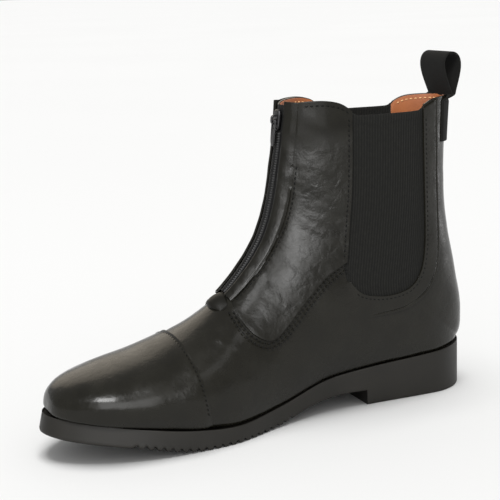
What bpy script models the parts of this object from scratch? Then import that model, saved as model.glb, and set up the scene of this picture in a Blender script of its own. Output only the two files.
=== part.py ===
"""Front zip ankle boot for the right foot, with elastic side gussets and a moulded unit sole.

All sizes are millimetres until a mesh is made, which is in metres. In the working sizes x runs from the
back of the heel towards the toe, y towards the inner side of the foot and z up from the floor. The finished
boot is moved so that x = 0 and y = 0 are the middle of its box.
"""

import bpy
import numpy as np

MM = 0.001

# Driving sizes
UPPER_TIP = 280.5      # toe tip of the upper, measured from the back of the heel seat
WALL = 2.0             # leather and lining together
GAP = 0.3              # clearance between neighbouring pieces
OVERLAY = 1.1          # thickness of a leather overlay
HEEL_BREAST = 78.0     # front face of the heel
HEEL_ROUND = 30.0      # length over which the heel end of the outline closes
TOE_ROUND = 80.0       # length over which the toe end of the outline closes
HEEL_POWER = 2.0
TOE_POWER = 2.15
TOE_TUCK = (1.0, 6.0, 60.0)   # most that the upper draws in to the sole at toe, ball and behind the ball
SECTION_SPLIT = 0.62   # share of a section's run that lies above its widest place
BOX_CENTRE = (141.1, -0.7)   # middle of the finished boot's box in x and y

# Insole
INSOLE_THICK = 2.0
INSOLE_STATIONS = 30
INSOLE_INSET = 4.2     # from the feather line along the sides
INSOLE_END = 8.0       # from the feather line at heel and toe

# Tread ribs across the forefoot
RIB_FIRST = 131.0
RIB_LAST = 236.0
RIB_PITCH = 5.0
RIB_LAND = 2.4         # flat top of a rib
RIB_DEPTH = 1.8

# Zip along the front of the shaft. Heights are measured outward from the leather's front line.
ZIP_SLOT = 4.5         # half width of the throat
ZIP_LOW = 9.02         # stations of the throat's lower end, the slider's lower end and the tape's top
ZIP_CLOSED = 16.5
ZIP_HIGH = 17.5
ZIP_MARGIN = 0.02      # in stations, from the throat's end and to the step above the chain
ZIP_POINTS = 16
ZIP_TAPE = (-1.6, -0.5)
ZIP_CHAIN_HALF = 2.6
ZIP_CHAIN_TOP = 2.0
SLIDER_STATION = 17.0
SLIDER_LENGTH = 13.0
SLIDER_HALF = 3.6
SLIDER_SEAT = -0.2
SLIDER_TOP = 2.6
BAIL_HALF_LENGTH = 3.0
BAIL_HALF_WIDTH = 0.9
BAIL_TOP = 5.8
BAIL_THICK = 1.1
PULL_AXIS_HEIGHT = 3.6
PULL_THICK = 1.0
PULL_BAR = 1.1         # thickness of the bar under the bail
PULL_LENGTH = 16.0
PULL_HALF = 2.9
PULL_WINDOW_HALF = 1.5
PULL_WINDOW_END = 5.4
ROLL_STATION = 8.62    # leather roll across the lower end of the zip
ROLL_REACH = 10.0
ROLL_HALF = 6.4        # along the boot, in the middle
ROLL_NARROWING = 0.45  # share of that half lost at its two ends
ROLL_HEIGHT = 3.8
ROLL_CLEAR = 0.15      # over the usual gap, because the vamp is hollow there

# Pull loop of folded webbing at the back of the collar
LOOP_HALF_WIDTH = 13.5
LOOP_HEIGHT = 28.0
LOOP_SPREAD = 8.6
LOOP_THICK = 1.4
LOOP_CLEAR = 0.9       # from the leather to its tail
LOOP_TURNS = 17
LOOP_LAYERS = 9        # closer together at its edges
LOOP_FOOT = 163.0      # lower end of its tail on the back of the shaft
LOOP_TOP_OF_TAIL = 193.5
LOOP_PINCH = 0.55      # turn of the loop at which its two sides meet

# Plain oval patch on the outer gusset
PATCH_MIDDLE = (64.0, 131.0)
PATCH_HALF = (11.5, 18.0)
PATCH_THICK = 0.9

GUSSET_DEPTHS = (-1.5, -0.5)

# Rows of the last, toe to collar. Each row is a plane across the boot between a point on the top line
# (toe, vamp, instep, front of the shaft) and a low point (feather line, then back of the heel).
SECTION_COLUMNS = (
    "top_x", "top_z", "low_x", "low_z", "half", "shift", "ridge", "wide", "top_round", "low_round",
)
ON_FEATHER = -1.0      # low_z of a row whose low point lies on the feather line
SECTIONS = (
    (280.2, 28.5, 280.4, ON_FEATHER, 1.0, 5.0, 5.0, 0.40, 2.20, 2.00),
    (278.2, 37.5, 279.3, ON_FEATHER, 10.2, 5.0, 5.0, 0.40, 2.20, 2.00),
    (272.5, 42.2, 275.8, ON_FEATHER, 17.0, 4.8, 5.0, 0.40, 2.20, 2.00),
    (265.0, 44.8, 268.8, ON_FEATHER, 23.6, 4.5, 5.0, 0.40, 2.20, 2.00),
    (254.0, 47.2, 257.0, ON_FEATHER, 31.0, 4.0, 4.5, 0.38, 2.20, 2.00),
    (238.5, 50.0, 240.5, ON_FEATHER, 36.5, 3.0, 4.0, 0.36, 2.15, 2.00),
    (218.0, 54.2, 219.5, ON_FEATHER, 40.7, 1.5, 3.5, 0.33, 2.10, 2.00),
    (197.5, 61.4, 197.0, ON_FEATHER, 43.1, 0.0, 3.0, 0.30, 2.00, 2.00),
    (180.5, 70.4, 170.0, ON_FEATHER, 41.3, -1.5, 2.5, 0.28, 1.95, 2.00),
    (165.5, 81.8, 135.0, ON_FEATHER, 35.4, -3.0, 1.5, 0.30, 1.90, 2.00),
    (152.0, 96.0, 95.0, ON_FEATHER, 32.9, -2.5, 0.8, 0.34, 1.90, 2.00),
    (142.2, 110.1, 53.5, ON_FEATHER, 31.9, -1.5, 0.2, 0.40, 1.95, 2.10),
    (136.6, 122.3, 19.5, ON_FEATHER, 30.7, -1.0, 0.0, 0.44, 2.00, 2.30),
    (133.6, 132.3, 0.0, ON_FEATHER, 29.7, -0.5, 0.0, 0.46, 2.00, 2.50),
    (131.0, 144.0, -3.6, 50.4, 28.2, -0.5, 0.0, 0.47, 2.00, 2.50),
    (128.6, 156.6, 1.2, 81.5, 26.3, -0.5, 0.0, 0.48, 2.10, 2.35),
    (126.2, 170.2, 7.2, 114.5, 24.7, -0.5, 0.0, 0.48, 2.20, 2.25),
    (124.4, 184.0, 8.6, 150.4, 23.0, -0.5, 0.0, 0.49, 2.30, 2.25),
    (123.0, 201.0, 5.8, 198.0, 20.8, -0.5, 0.0, 0.50, 2.40, 2.30),
)
LAST_ON_FEATHER = 13
ROW_STATIONS = np.concatenate([
    np.linspace(0.0, 3.0, 6), np.linspace(3.7, 12.0, 12), (12.27, 12.54, 12.79, 13.0, 13.5, 14.2),
    np.linspace(15.0, 18.0, 4),
])
SIDE_STEPS = 12        # grid columns down each side of a row
COLUMN_CROWDING = 0.45  # how much closer the columns stand at the top line and at the foot

# Feather line, where upper and sole meet, and how far the sole stands out past it
FEATHER_COLUMNS = ("x", "half", "middle", "height")
FEATHER = (
    (0.0, 25.5, 0.0, 30.0),
    (39.0, 25.2, -0.5, 26.8),
    (78.0, 24.0, -1.5, 24.2),
    (105.0, 25.3, -3.2, 21.4),
    (142.0, 32.6, -3.9, 12.6),
    (176.0, 40.4, -1.9, 10.0),
    (202.0, 38.2, 0.5, 12.6),
    (228.0, 35.6, 2.4, 17.5),
    (254.0, 32.0, 3.9, 22.4),
    (286.0, 27.0, 5.0, 28.0),
)
LEDGE_COLUMNS = ("x", "ledge", "flare")
LEDGES = ((0.0, 1.4, 0.3), (100.0, 1.4, 0.5), (195.0, 2.6, 1.4), (285.0, 3.0, 2.2))
SOLE_EDGE = 0.8        # bevel along the sole's edges

# Underside of the sole in front of the heel. The forefoot lies flat from 158 to 194.
UNDERSIDE_COLUMNS = ("x", "height")
UNDERSIDE = (
    (78.0, 9.4), (97.0, 9.9), (120.0, 6.7), (142.0, 1.3), (158.0, 0.0), (176.0, 0.0), (194.0, 0.0),
    (206.0, 1.5), (225.0, 6.1), (250.0, 11.1), (270.0, 14.5), (288.0, 18.2),
)

# Reach of the cutting prisms, and the points on their edges
CUT_SIDE = 60.0        # to each side of the middle plane
CUT_NEAREST = 6.0      # a gusset's cutter begins this far from the middle plane
CUT_ABOVE = 230.0
CUT_THROUGH = 9.0      # past a surface that is cut through
COLLAR_POINTS = 37
THROAT_POINTS = 20
WINDOW_POINTS = 33
SEAT_POINTS = 30
STRAP_POINTS = 25
LOBE_POINTS = 31
SEAM_POINTS = 17

# First and last stations of the sheets that the side pieces and the toe cap are cut from
PANEL_STATIONS = (7.8, 18.0)
GUSSET_STATIONS = (9.8, 18.0)
PATCH_STATIONS = (12.5, 17.3)
TOE_STATIONS = (0.0, 7.6)
STRAP_NEAREST = 3.0    # a strap's cutter begins this far from the middle plane

# Lines of the pattern pieces, seen from the side
LINE_COLUMNS = ("x", "z")
COLLAR_LINE = (
    (140.0, 190.8), (126.0, 192.2), (117.0, 194.8), (104.0, 195.2), (94.0, 192.4), (88.0, 188.4),
    (82.0, 185.6), (60.0, 185.0), (40.0, 184.9), (33.0, 186.6), (26.0, 190.4), (17.0, 191.9), (-12.0, 192.4),
)
GUSSET_LINE = (
    (85.5, 205.0), (86.5, 175.0), (88.5, 140.0), (92.0, 110.0), (94.0, 90.0), (87.0, 77.5), (74.0, 73.0),
    (60.0, 72.6), (48.0, 76.0), (40.0, 86.0), (36.0, 105.0), (34.8, 135.0), (34.5, 170.0), (34.5, 205.0),
)
STRAP_LINE = (
    (96.0, 59.5), (74.0, 60.2), (55.0, 61.8), (42.0, 66.5), (33.0, 73.5), (25.5, 87.0), (22.5, 110.0),
    (21.8, 150.0), (21.8, 205.0),
)
LOBE_LINE = (
    (165.8, 94.0), (165.7, 85.0), (165.2, 75.0), (162.4, 66.0), (157.0, 59.5), (149.5, 55.8), (142.5, 57.8),
    (134.0, 65.0), (122.0, 77.0), (109.0, 88.6), (96.0, 96.0),
)
TOE_SEAM = ((203.0, 75.0), (200.5, 59.0), (197.5, 45.0), (195.0, 30.0), (191.0, 5.0))
PANEL_EDGE_HALF = 5.2  # half width of the bare strip beside the throat


def column(rows, columns, name):
    """One named column of a table."""
    return np.array([row[columns.index(name)] for row in rows], float)


def smooth(xs, ys, x):
    """Cubic through every row of a table, with slopes from the neighbouring rows."""
    steps = np.diff(xs)
    rises = np.diff(ys) / steps
    slopes = np.empty_like(ys)
    slopes[1:-1] = (rises[:-1] * steps[1:] + rises[1:] * steps[:-1]) / (steps[:-1] + steps[1:])
    slopes[0] = 1.5 * rises[0] - 0.5 * slopes[1]
    slopes[-1] = 1.5 * rises[-1] - 0.5 * slopes[-2]
    i = np.clip(np.searchsorted(xs, x, side="right") - 1, 0, len(steps) - 1)
    t = (x - xs[i]) / steps[i]
    rest = 1.0 - t
    held = ys[i] * (1.0 + 2.0 * t) * rest**2 + ys[i + 1] * (3.0 - 2.0 * t) * t**2
    turned = steps[i] * (slopes[i] * t * rest**2 - slopes[i + 1] * t**2 * rest)
    return held + turned


def look_up(rows, columns, name, x):
    """A smooth value of one column of a table whose first column is x."""
    return smooth(column(rows, columns, columns[0]), column(rows, columns, name), x)


def feather(x, name):
    """Half width, middle or height of the feather line at x."""
    return look_up(FEATHER, FEATHER_COLUMNS, name, x)


def end_rounding(x):
    """How far the outline has opened at x: 0 at heel and toe tips, 1 along the sides."""
    heel = np.clip(1.0 - x / HEEL_ROUND, 0.0, 1.0)
    toe = np.clip(1.0 - (UPPER_TIP - x) / TOE_ROUND, 0.0, 1.0)
    return (1.0 - heel**HEEL_POWER) ** (1.0 / HEEL_POWER) * (1.0 - toe**TOE_POWER) ** (1.0 / TOE_POWER)


def feather_outline(x):
    """Half width and middle of the foot of the upper at x."""
    x = np.clip(x, 0.0, UPPER_TIP)
    return feather(x, "half") * end_rounding(x), feather(x, "middle")


def last_rows(stations):
    """The named section columns at the given stations, and the foot of each section."""
    index = np.arange(len(SECTIONS), dtype=float)
    values = {}
    for name in SECTION_COLUMNS:
        values[name] = smooth(index, column(SECTIONS, SECTION_COLUMNS, name), stations)
    on_feather = stations <= LAST_ON_FEATHER
    known_x = column(SECTIONS, SECTION_COLUMNS, "low_x")
    known_z = column(SECTIONS, SECTION_COLUMNS, "low_z")
    known_z = np.where(known_z == ON_FEATHER, feather(known_x, "height"), known_z)
    values["low_z"] = smooth(index, known_z, stations)
    low_x = np.clip(values["low_x"], 0.0, UPPER_TIP)
    values["low_z"] = np.where(on_feather, feather(low_x, "height"), values["low_z"])
    half, middle = feather_outline(low_x)
    tucked = values["half"] - np.interp(stations, (3.0, 7.0, 8.0), TOE_TUCK)
    values["foot_half"] = np.where(on_feather, np.maximum(half, tucked), 0.0)
    values["foot_middle"] = np.where(on_feather, middle, 0.0)
    values["half"] = np.maximum(values["half"], values["foot_half"])
    return {name: value[:, None] for name, value in values.items()}


def last_surface(stations, steps=SIDE_STEPS):
    """Points of the last: a row for each station, from the inner foot over the top line to the outer foot.

    Each side of a section is two superellipse quarters that meet at its widest place. In the lower one the
    squared half width grows from that of the foot to the full one, so a narrow foot closes as a round heel.
    """
    row = last_rows(np.asarray(stations, float))
    run = np.linspace(0.0, 1.0, 161)
    above = np.clip(run / SECTION_SPLIT, 0.0, 1.0) * np.pi / 2
    below = np.clip((run - SECTION_SPLIT) / (1.0 - SECTION_SPLIT), 0.0, 1.0) * np.pi / 2
    wide = row["wide"]
    high = wide + (1.0 - wide) * np.cos(above) ** (2.0 / row["top_round"])
    high_half = row["half"] * np.sin(above) ** (2.0 / row["top_round"])
    low = wide * (1.0 - np.sin(below) ** (2.0 / row["low_round"]))
    opened = np.clip(np.cos(below), 0.0, 1.0) ** (4.0 / row["low_round"])
    low_half = np.sqrt(row["foot_half"] ** 2 + (row["half"] ** 2 - row["foot_half"] ** 2) * opened)
    is_high = run <= SECTION_SPLIT
    way = np.where(is_high, high, low)
    half = np.where(is_high, high_half, low_half)
    up = (row["ridge"] - row["shift"]) * ((way - wide) / (1.0 - wide)) ** 2
    down = (row["foot_middle"] - row["shift"]) * ((wide - way) / wide) ** 2
    middle = row["shift"] + np.where(way >= wide, up, down)
    x = row["low_x"] + way * (row["top_x"] - row["low_x"])
    z = row["low_z"] + way * (row["top_z"] - row["low_z"])
    even = np.linspace(0.0, 1.0, steps + 1)
    share = even - COLUMN_CROWDING * np.sin(2.0 * np.pi * even) / (2.0 * np.pi)
    grid = np.empty((len(x), 2 * steps + 1, 3))
    for sign, order in ((1.0, slice(steps, None, -1)), (-1.0, slice(steps, None))):
        points = np.stack([x, middle + sign * half, z], axis=2)
        lengths = np.linalg.norm(np.diff(points, axis=1), axis=2)
        along = np.concatenate([np.zeros((len(x), 1)), np.cumsum(lengths, axis=1)], axis=1)
        along /= np.maximum(along[:, -1:], 1e-9)
        for i in range(len(x)):
            spaced = np.stack([np.interp(share, along[i], points[i, :, k]) for k in range(3)], axis=1)
            grid[i, order] = spaced
    return grid


def outward(grid, closed_rows):
    """Unit normals of a last grid: at each point, the sum of those of the squares around it.

    From closed_rows on, the two ends of a row are one point at the back of the heel. The first row is the
    toe tip and faces forward.
    """
    across = grid[1:, 1:] - grid[:-1, :-1]
    other = grid[:-1, 1:] - grid[1:, :-1]
    square = np.cross(across, other)
    normal = np.zeros_like(grid)
    for rows in (slice(None, -1), slice(1, None)):
        for columns in (slice(None, -1), slice(1, None)):
            normal[rows, columns] += square
    back = normal[closed_rows:, 0] + normal[closed_rows:, -1]
    normal[closed_rows:, 0] = back
    normal[closed_rows:, -1] = back
    normal /= np.maximum(np.linalg.norm(normal, axis=2, keepdims=True), 1e-9)
    normal[0] = (1.0, 0.0, 0.0)
    return normal


BASE = last_surface(ROW_STATIONS)
CLOSED_ROWS = int(np.searchsorted(ROW_STATIONS, LAST_ON_FEATHER))
NORMALS = outward(BASE, CLOSED_ROWS)


def skin(offset):
    """The last's grid moved out by offset."""
    return BASE + NORMALS * offset


def material(name, colour, roughness, metallic=0.0):
    """A Principled material of one colour."""
    made = bpy.data.materials.new(name)
    made.use_nodes = True
    shader = made.node_tree.nodes["Principled BSDF"]
    shader.inputs["Base Color"].default_value = (*colour, 1.0)
    shader.inputs["Roughness"].default_value = roughness
    shader.inputs["Metallic"].default_value = metallic
    made.diffuse_color = (*colour, 1.0)
    return made


def solid(name, points, faces, finish=None, pivot=(*BOX_CENTRE, 0.0)):
    """A mesh object from points in millimetres, with its origin at the pivot.

    With no finish it is a cutter.
    """
    placed = (np.asarray(points, float) - pivot) * MM
    mesh = bpy.data.meshes.new(name)
    mesh.from_pydata(placed.tolist(), [], [list(map(int, face)) for face in faces])
    mesh.validate()
    obj = bpy.data.objects.new(name, mesh)
    obj.location = (np.asarray(pivot) - (*BOX_CENTRE, 0.0)) * MM
    bpy.context.scene.collection.objects.link(obj)
    if finish is None:
        obj.hide_render = True
        obj.display_type = "WIRE"
    else:
        mesh.materials.append(finish)
        mesh.shade_smooth()
        mesh.set_sharp_from_angle(angle=np.radians(35.0))
    return obj


def quads(index):
    """Triangles over a grid of point numbers, each square cut along the same diagonal."""
    a, b, c, d = index[:-1, :-1], index[1:, :-1], index[1:, 1:], index[:-1, 1:]
    first = np.stack([a, b, c], axis=2).reshape(-1, 3)
    second = np.stack([a, c, d], axis=2).reshape(-1, 3)
    return np.concatenate([first, second])


def rim_faces(faces, shift):
    """Walls between a sheet and its copy, along every edge that only one face of the sheet has."""
    edges = np.concatenate([faces[:, [0, 1]], faces[:, [1, 2]], faces[:, [2, 0]]])
    known = {(a, b) for a, b in edges.tolist()}
    free = [edge for edge in edges.tolist() if (edge[1], edge[0]) not in known]
    return [(b, a, a + shift, b + shift) for a, b in free]


def shell(name, inner, outer, finish, rows=slice(None), columns=slice(None)):
    """A sheet of the last between two offsets, over some of its rows and columns.

    Where both sides of a row meet at the back of the heel their points are one point.
    """
    index = np.arange(BASE.shape[0] * BASE.shape[1]).reshape(BASE.shape[:2])
    index[CLOSED_ROWS:, -1] = index[CLOSED_ROWS:, 0]
    faces = quads(index[rows, columns])
    used, flat = np.unique(faces, return_inverse=True)
    faces = flat.reshape(-1, 3)
    faces = faces[(faces[:, 0] != faces[:, 1]) & (faces[:, 1] != faces[:, 2]) & (faces[:, 2] != faces[:, 0])]
    out = skin(outer).reshape(-1, 3)[used]
    into = skin(inner).reshape(-1, 3)[used]
    walls = rim_faces(faces, len(used))
    all_faces = faces.tolist() + (faces + len(used))[:, ::-1].tolist() + walls
    return solid(name, np.concatenate([out, into]), all_faces, finish)


def lofted(name, rings, finish=None):
    """A closed solid through rings of points, capped at both ends, with its faces turned outwards."""
    count, around = rings.shape[:2]
    index = np.arange(count * around).reshape(count, around)
    index = np.concatenate([index, index[:, :1]], axis=1)
    faces = quads(index)[:, ::-1].tolist()
    faces.append(index[0, -2::-1].tolist())
    faces.append(index[-1, :-1].tolist())
    points = rings.reshape(-1, 3)
    corners = points[[face[:3] for face in faces[:-2]]]
    if np.linalg.det(corners - points.mean(axis=0)).sum() < 0.0:
        faces = [face[::-1] for face in faces]
    return solid(name, points, faces, finish)


def curve(line, count):
    """A smooth line through the rows of a table, as evenly numbered points."""
    index = np.arange(len(line), dtype=float)
    at = np.linspace(0.0, len(line) - 1.0, count)
    return np.stack([smooth(index, column(line, LINE_COLUMNS, name), at) for name in LINE_COLUMNS], axis=1)


def offset_line(line, distance):
    """An open line moved sideways, to the right of its direction where distance is positive."""
    along = np.gradient(line, axis=0)
    along /= np.linalg.norm(along, axis=1, keepdims=True)
    return line + distance * np.stack([along[:, 1], -along[:, 0]], axis=1)


def prism(name, outline, low_y, high_y, finish=None):
    """A closed prism along y over an outline in x and z."""
    outline = np.asarray(outline, float)
    x, z = outline.T
    if np.sum(x * np.roll(z, -1) - np.roll(x, -1) * z) < 0.0:
        outline = outline[::-1]
    count = len(outline)
    near = np.insert(outline, 1, low_y, axis=1)
    far = np.insert(outline, 1, high_y, axis=1)
    faces = [list(range(count)), list(range(2 * count - 1, count - 1, -1))]
    for i in range(count):
        j = (i + 1) % count
        faces.append([j, i, i + count, j + count])
    return solid(name, np.concatenate([near, far]), faces, finish)


def boolean(obj, cutter, operation):
    """Adds an exact Boolean to an object."""
    cut = obj.modifiers.new(f"{operation.lower()} {cutter.name}", "BOOLEAN")
    cut.operation = operation
    cut.solver = "EXACT"
    cut.object = cutter


def sole_growth(x, name):
    """Ledge or flare of the sole at x."""
    return look_up(LEDGES, LEDGE_COLUMNS, name, x)


def underside(x):
    """Height of the sole's lower face at x, before the ribs are cut."""
    height = np.maximum(look_up(UNDERSIDE, UNDERSIDE_COLUMNS, "height", x), 0.0)
    return np.where(x <= HEEL_BREAST, 0.0, height)


def sole_edge(x, depth):
    """x, half width and middle of the sole's edge. depth is 0 at its rim and 1 at the floor."""
    back = sole_growth(0.0, "ledge") + depth * sole_growth(0.0, "flare")
    front = sole_growth(UPPER_TIP, "ledge") + depth * sole_growth(UPPER_TIP, "flare")
    grown = -back + x / UPPER_TIP * (UPPER_TIP + back + front)
    side = sole_growth(x, "ledge") + depth * sole_growth(x, "flare")
    half = (feather(x, "half") + side) * end_rounding(x)
    return grown, half, feather(x, "middle")


def sole_stations():
    """Stations of the sole along the upper's length, with those of every rib and of the heel breast."""
    ends = 0.5 - 0.5 * np.cos(np.linspace(0.0, np.pi, 30))
    plain = UPPER_TIP * ends
    plain = plain[(plain < RIB_FIRST - 2.0) | (plain > RIB_LAST + 2.0)]
    plain[0] = 0.05
    plain[-1] = UPPER_TIP - 0.05
    plain = plain[np.abs(plain - HEEL_BREAST) > 2.0]
    starts = np.arange(RIB_FIRST, RIB_LAST, RIB_PITCH)
    groove = starts + RIB_LAND + 0.5 * (RIB_PITCH - RIB_LAND)
    ribs = np.stack([starts, starts + RIB_LAND, groove], axis=1).ravel()
    cut = np.isin(np.arange(len(ribs)) % 3, 2) * RIB_DEPTH
    breast = np.array([HEEL_BREAST, HEEL_BREAST + 0.6])
    x = np.concatenate([plain, breast, ribs])
    cut = np.concatenate([np.zeros(len(plain) + 2), cut])
    order = np.argsort(x)
    return x[order], cut[order]


def make_outsole(finish):
    """Unit sole: heel, waist, ribbed forefoot and a ledge that stands out round the upper."""
    x, cut = sole_stations()
    top = feather(x, "height")
    low = underside(x) + cut
    rim_x, rim_half, middle = sole_edge(x, 0.0)
    floor_x, floor_half, _ = sole_edge(x, 1.0)
    bevel = np.minimum(SOLE_EDGE, 0.4 * floor_half)
    profile = (
        (floor_x, floor_half - bevel, low),
        (floor_x, floor_half, low + SOLE_EDGE),
        (rim_x, rim_half, top - SOLE_EDGE),
        (rim_x, rim_half - bevel, top),
    )
    inner = [np.stack([px, middle + half, pz], axis=1) for px, half, pz in profile]
    outer = [np.stack([px, middle - half, pz], axis=1) for px, half, pz in profile[::-1]]
    return lofted("outsole", np.stack(inner + outer, axis=1), finish)


def make_insole(finish):
    """A flat sheet that lies on the sole inside the upper."""
    share = 0.5 - 0.5 * np.cos(np.linspace(0.0, np.pi, INSOLE_STATIONS))
    x = INSOLE_END + (UPPER_TIP - 2.0 * INSOLE_END) * share
    half = (feather(x, "half") - INSOLE_INSET) * end_rounding(share * UPPER_TIP)
    half = np.maximum(half, 0.5)
    middle = feather(x, "middle")
    low = feather(x, "height") + GAP
    corners = ((half, low), (half, low + INSOLE_THICK), (-half, low + INSOLE_THICK), (-half, low))
    ring = np.stack([np.stack([x, middle + side, z], axis=1) for side, z in corners], axis=1)
    return lofted("insole", ring, finish)


def top_line(stations):
    """Points of the toe, vamp and shaft front line, in x and z."""
    row = last_rows(np.asarray(stations, float))
    return np.concatenate([row["top_x"], row["top_z"]], axis=1)


def make_cutters():
    """The prisms that cut the pattern pieces."""
    collar = curve(COLLAR_LINE, COLLAR_POINTS)
    above = np.concatenate([collar, [(collar[-1, 0], CUT_ABOVE), (collar[0, 0], CUT_ABOVE)]])
    throat = top_line(np.linspace(ZIP_LOW, len(SECTIONS) - 1.0, THROAT_POINTS))
    slot = np.concatenate([offset_line(throat, CUT_THROUGH), offset_line(throat, -CUT_THROUGH)[::-1]])
    window = curve(GUSSET_LINE, WINDOW_POINTS)
    seat_x = np.linspace(0.0, UPPER_TIP, SEAT_POINTS)
    seat = np.stack([seat_x, feather(seat_x, "height") + GAP], axis=1)
    front, back = UPPER_TIP + CUT_THROUGH, -CUT_THROUGH
    ends = [(front, seat[-1, 1]), (front, back), (back, back), (back, seat[0, 1])]
    return {
        "seat": prism("cut_seat", np.concatenate([seat, ends]), -CUT_SIDE, CUT_SIDE),
        "collar": prism("cut_collar", above, -CUT_SIDE, CUT_SIDE),
        "throat": prism("cut_throat", slot, -ZIP_SLOT, ZIP_SLOT),
        "window_inner": prism("cut_window_inner", window, CUT_NEAREST, CUT_SIDE),
        "window_outer": prism("cut_window_outer", window, -CUT_SIDE, -CUT_NEAREST),
    }


def make_upper(finish, cutters):
    """The hollow leather upper: open below, at the collar, along the throat and at both gussets."""
    upper = shell("upper", -WALL, 0.0, finish)
    for name in ("seat", "collar", "throat", "window_inner", "window_outer"):
        boolean(upper, cutters[name], "DIFFERENCE")


def rows_between(low, high):
    """The grid rows from one station to another."""
    return slice(int(np.searchsorted(ROW_STATIONS, low)), int(np.searchsorted(ROW_STATIONS, high)) + 1)


def make_toe_cap(finish, cutters):
    """Leather cap over the toe, in front of its seam across the vamp."""
    cap = shell("toe_cap", GAP, GAP + OVERLAY, finish, rows_between(*TOE_STATIONS))
    seam = curve(TOE_SEAM, SEAM_POINTS)
    front = UPPER_TIP + CUT_THROUGH
    cap_side = np.concatenate([seam, [(front, seam[-1, 1]), (front, seam[0, 1])]])
    boolean(cap, prism("cut_toe_seam", cap_side, -CUT_SIDE, CUT_SIDE), "INTERSECT")
    boolean(cap, cutters["seat"], "DIFFERENCE")


def side_piece(name, finish, cutters, outline, depths, stations, steps, side, nearest):
    """A piece of one side of the upper, inside an outline and under the collar line.

    side is 1.0 on the inner side of the foot and -1.0 on the outer side. nearest is its least distance from
    the middle plane, and steps are its grid columns counted from the sole.
    """
    first, last = steps
    columns = slice(first, last + 1)
    if side < 0.0:
        columns = slice(2 * SIDE_STEPS - last, 2 * SIDE_STEPS - first + 1)
    piece = shell(name, depths[0], depths[1], finish, rows_between(*stations), columns)
    low_y, high_y = sorted((side * nearest, side * CUT_SIDE))
    boolean(piece, prism("cut_" + name, outline, low_y, high_y), "INTERSECT")
    boolean(piece, cutters["collar"], "DIFFERENCE")


def make_side_pieces(leather, elastic, cutters):
    """Front panel, gusset and gusset strap of each side."""
    window = curve(GUSSET_LINE, WINDOW_POINTS)
    strap = curve(STRAP_LINE, STRAP_POINTS)
    lobe = curve(LOBE_LINE, LOBE_POINTS)
    overlay = (GAP, GAP + OVERLAY)
    front_edge = window[window[:, 1] > 96.0]
    front_edge = front_edge[front_edge[:, 0] > 70.0][::-1]
    panel = np.concatenate([lobe, front_edge, [(150.0, 205.0), (185.0, 120.0)]])
    rear_edge = window[window[:, 0] < 88.0]
    rear_edge = rear_edge[(rear_edge[:, 0] < 60.0) | (rear_edge[:, 1] < 100.0)][::-1]
    band = np.concatenate([strap, rear_edge, [(96.0, 82.0)]])
    for word, side in (("inner", 1.0), ("outer", -1.0)):
        side_piece(
            f"front_panel_{word}", leather, cutters, panel, overlay,
            PANEL_STATIONS, (2, SIDE_STEPS), side, PANEL_EDGE_HALF,
        )
        side_piece(
            f"gusset_{word}", elastic, cutters, offset_line(window, GAP), GUSSET_DEPTHS,
            GUSSET_STATIONS, (1, SIDE_STEPS - 1), side, CUT_NEAREST + GAP,
        )
        side_piece(
            f"gusset_strap_{word}", leather, cutters, band, overlay,
            GUSSET_STATIONS, (0, SIDE_STEPS - 2), side, STRAP_NEAREST,
        )


def make_patch(finish, cutters):
    """Plain oval on the outer gusset."""
    turn = np.linspace(0.0, 2.0 * np.pi, 28, endpoint=False)
    oval = np.stack([np.cos(turn), np.sin(turn)], axis=1) * PATCH_HALF + PATCH_MIDDLE
    low = GUSSET_DEPTHS[1] + GAP
    side_piece(
        "oval_patch", finish, cutters, oval, (low, low + PATCH_THICK),
        PATCH_STATIONS, (3, SIDE_STEPS - 2), -1.0, CUT_NEAREST,
    )


def front_frame(station):
    """Point, upward direction and outward direction of the front line at a station, in x and z."""
    ahead, behind = top_line([station - 0.02, station + 0.02])
    along = (behind - ahead) / np.linalg.norm(behind - ahead)
    return 0.5 * (ahead + behind), along, np.array([along[1], -along[0]])


def make_zip_chain(finish):
    """Zip tape with its closed chain standing proud below the slider."""
    low, high = ZIP_TAPE
    half, top = ZIP_CHAIN_HALF, ZIP_CHAIN_TOP
    tape = ZIP_SLOT - GAP
    profile = np.array([
        (-tape, low), (tape, low), (tape, high), (half, high), (0.8 * half, 0.8 * top), (0.3 * half, top),
        (-0.3 * half, top), (-0.8 * half, 0.8 * top), (-half, high), (-tape, high),
    ])
    closed = np.linspace(ZIP_LOW + ZIP_MARGIN, ZIP_CLOSED, ZIP_POINTS)
    stations = np.concatenate([closed, [ZIP_CLOSED + ZIP_MARGIN, ZIP_HIGH]])
    rings = []
    for station in stations:
        point, _, out = front_frame(station)
        height = profile[:, 1] if station <= ZIP_CLOSED else np.minimum(profile[:, 1], high)
        x = point[0] + out[0] * height
        z = point[1] + out[1] * height
        rings.append(np.stack([x, profile[:, 0], z], axis=1))
    lofted("zip_chain", np.array(rings), finish)


def on_slider(along, across, height):
    """World points of the slider's own sizes: along the zip, across it and out from the leather."""
    point, up, out = front_frame(SLIDER_STATION)
    along, across, height = np.broadcast_arrays(*(np.asarray(v, float) for v in (along, across, height)))
    x = point[0] + up[0] * along + out[0] * height
    z = point[1] + up[1] * along + out[1] * height
    return np.stack([x, across, z], axis=-1)


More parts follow.
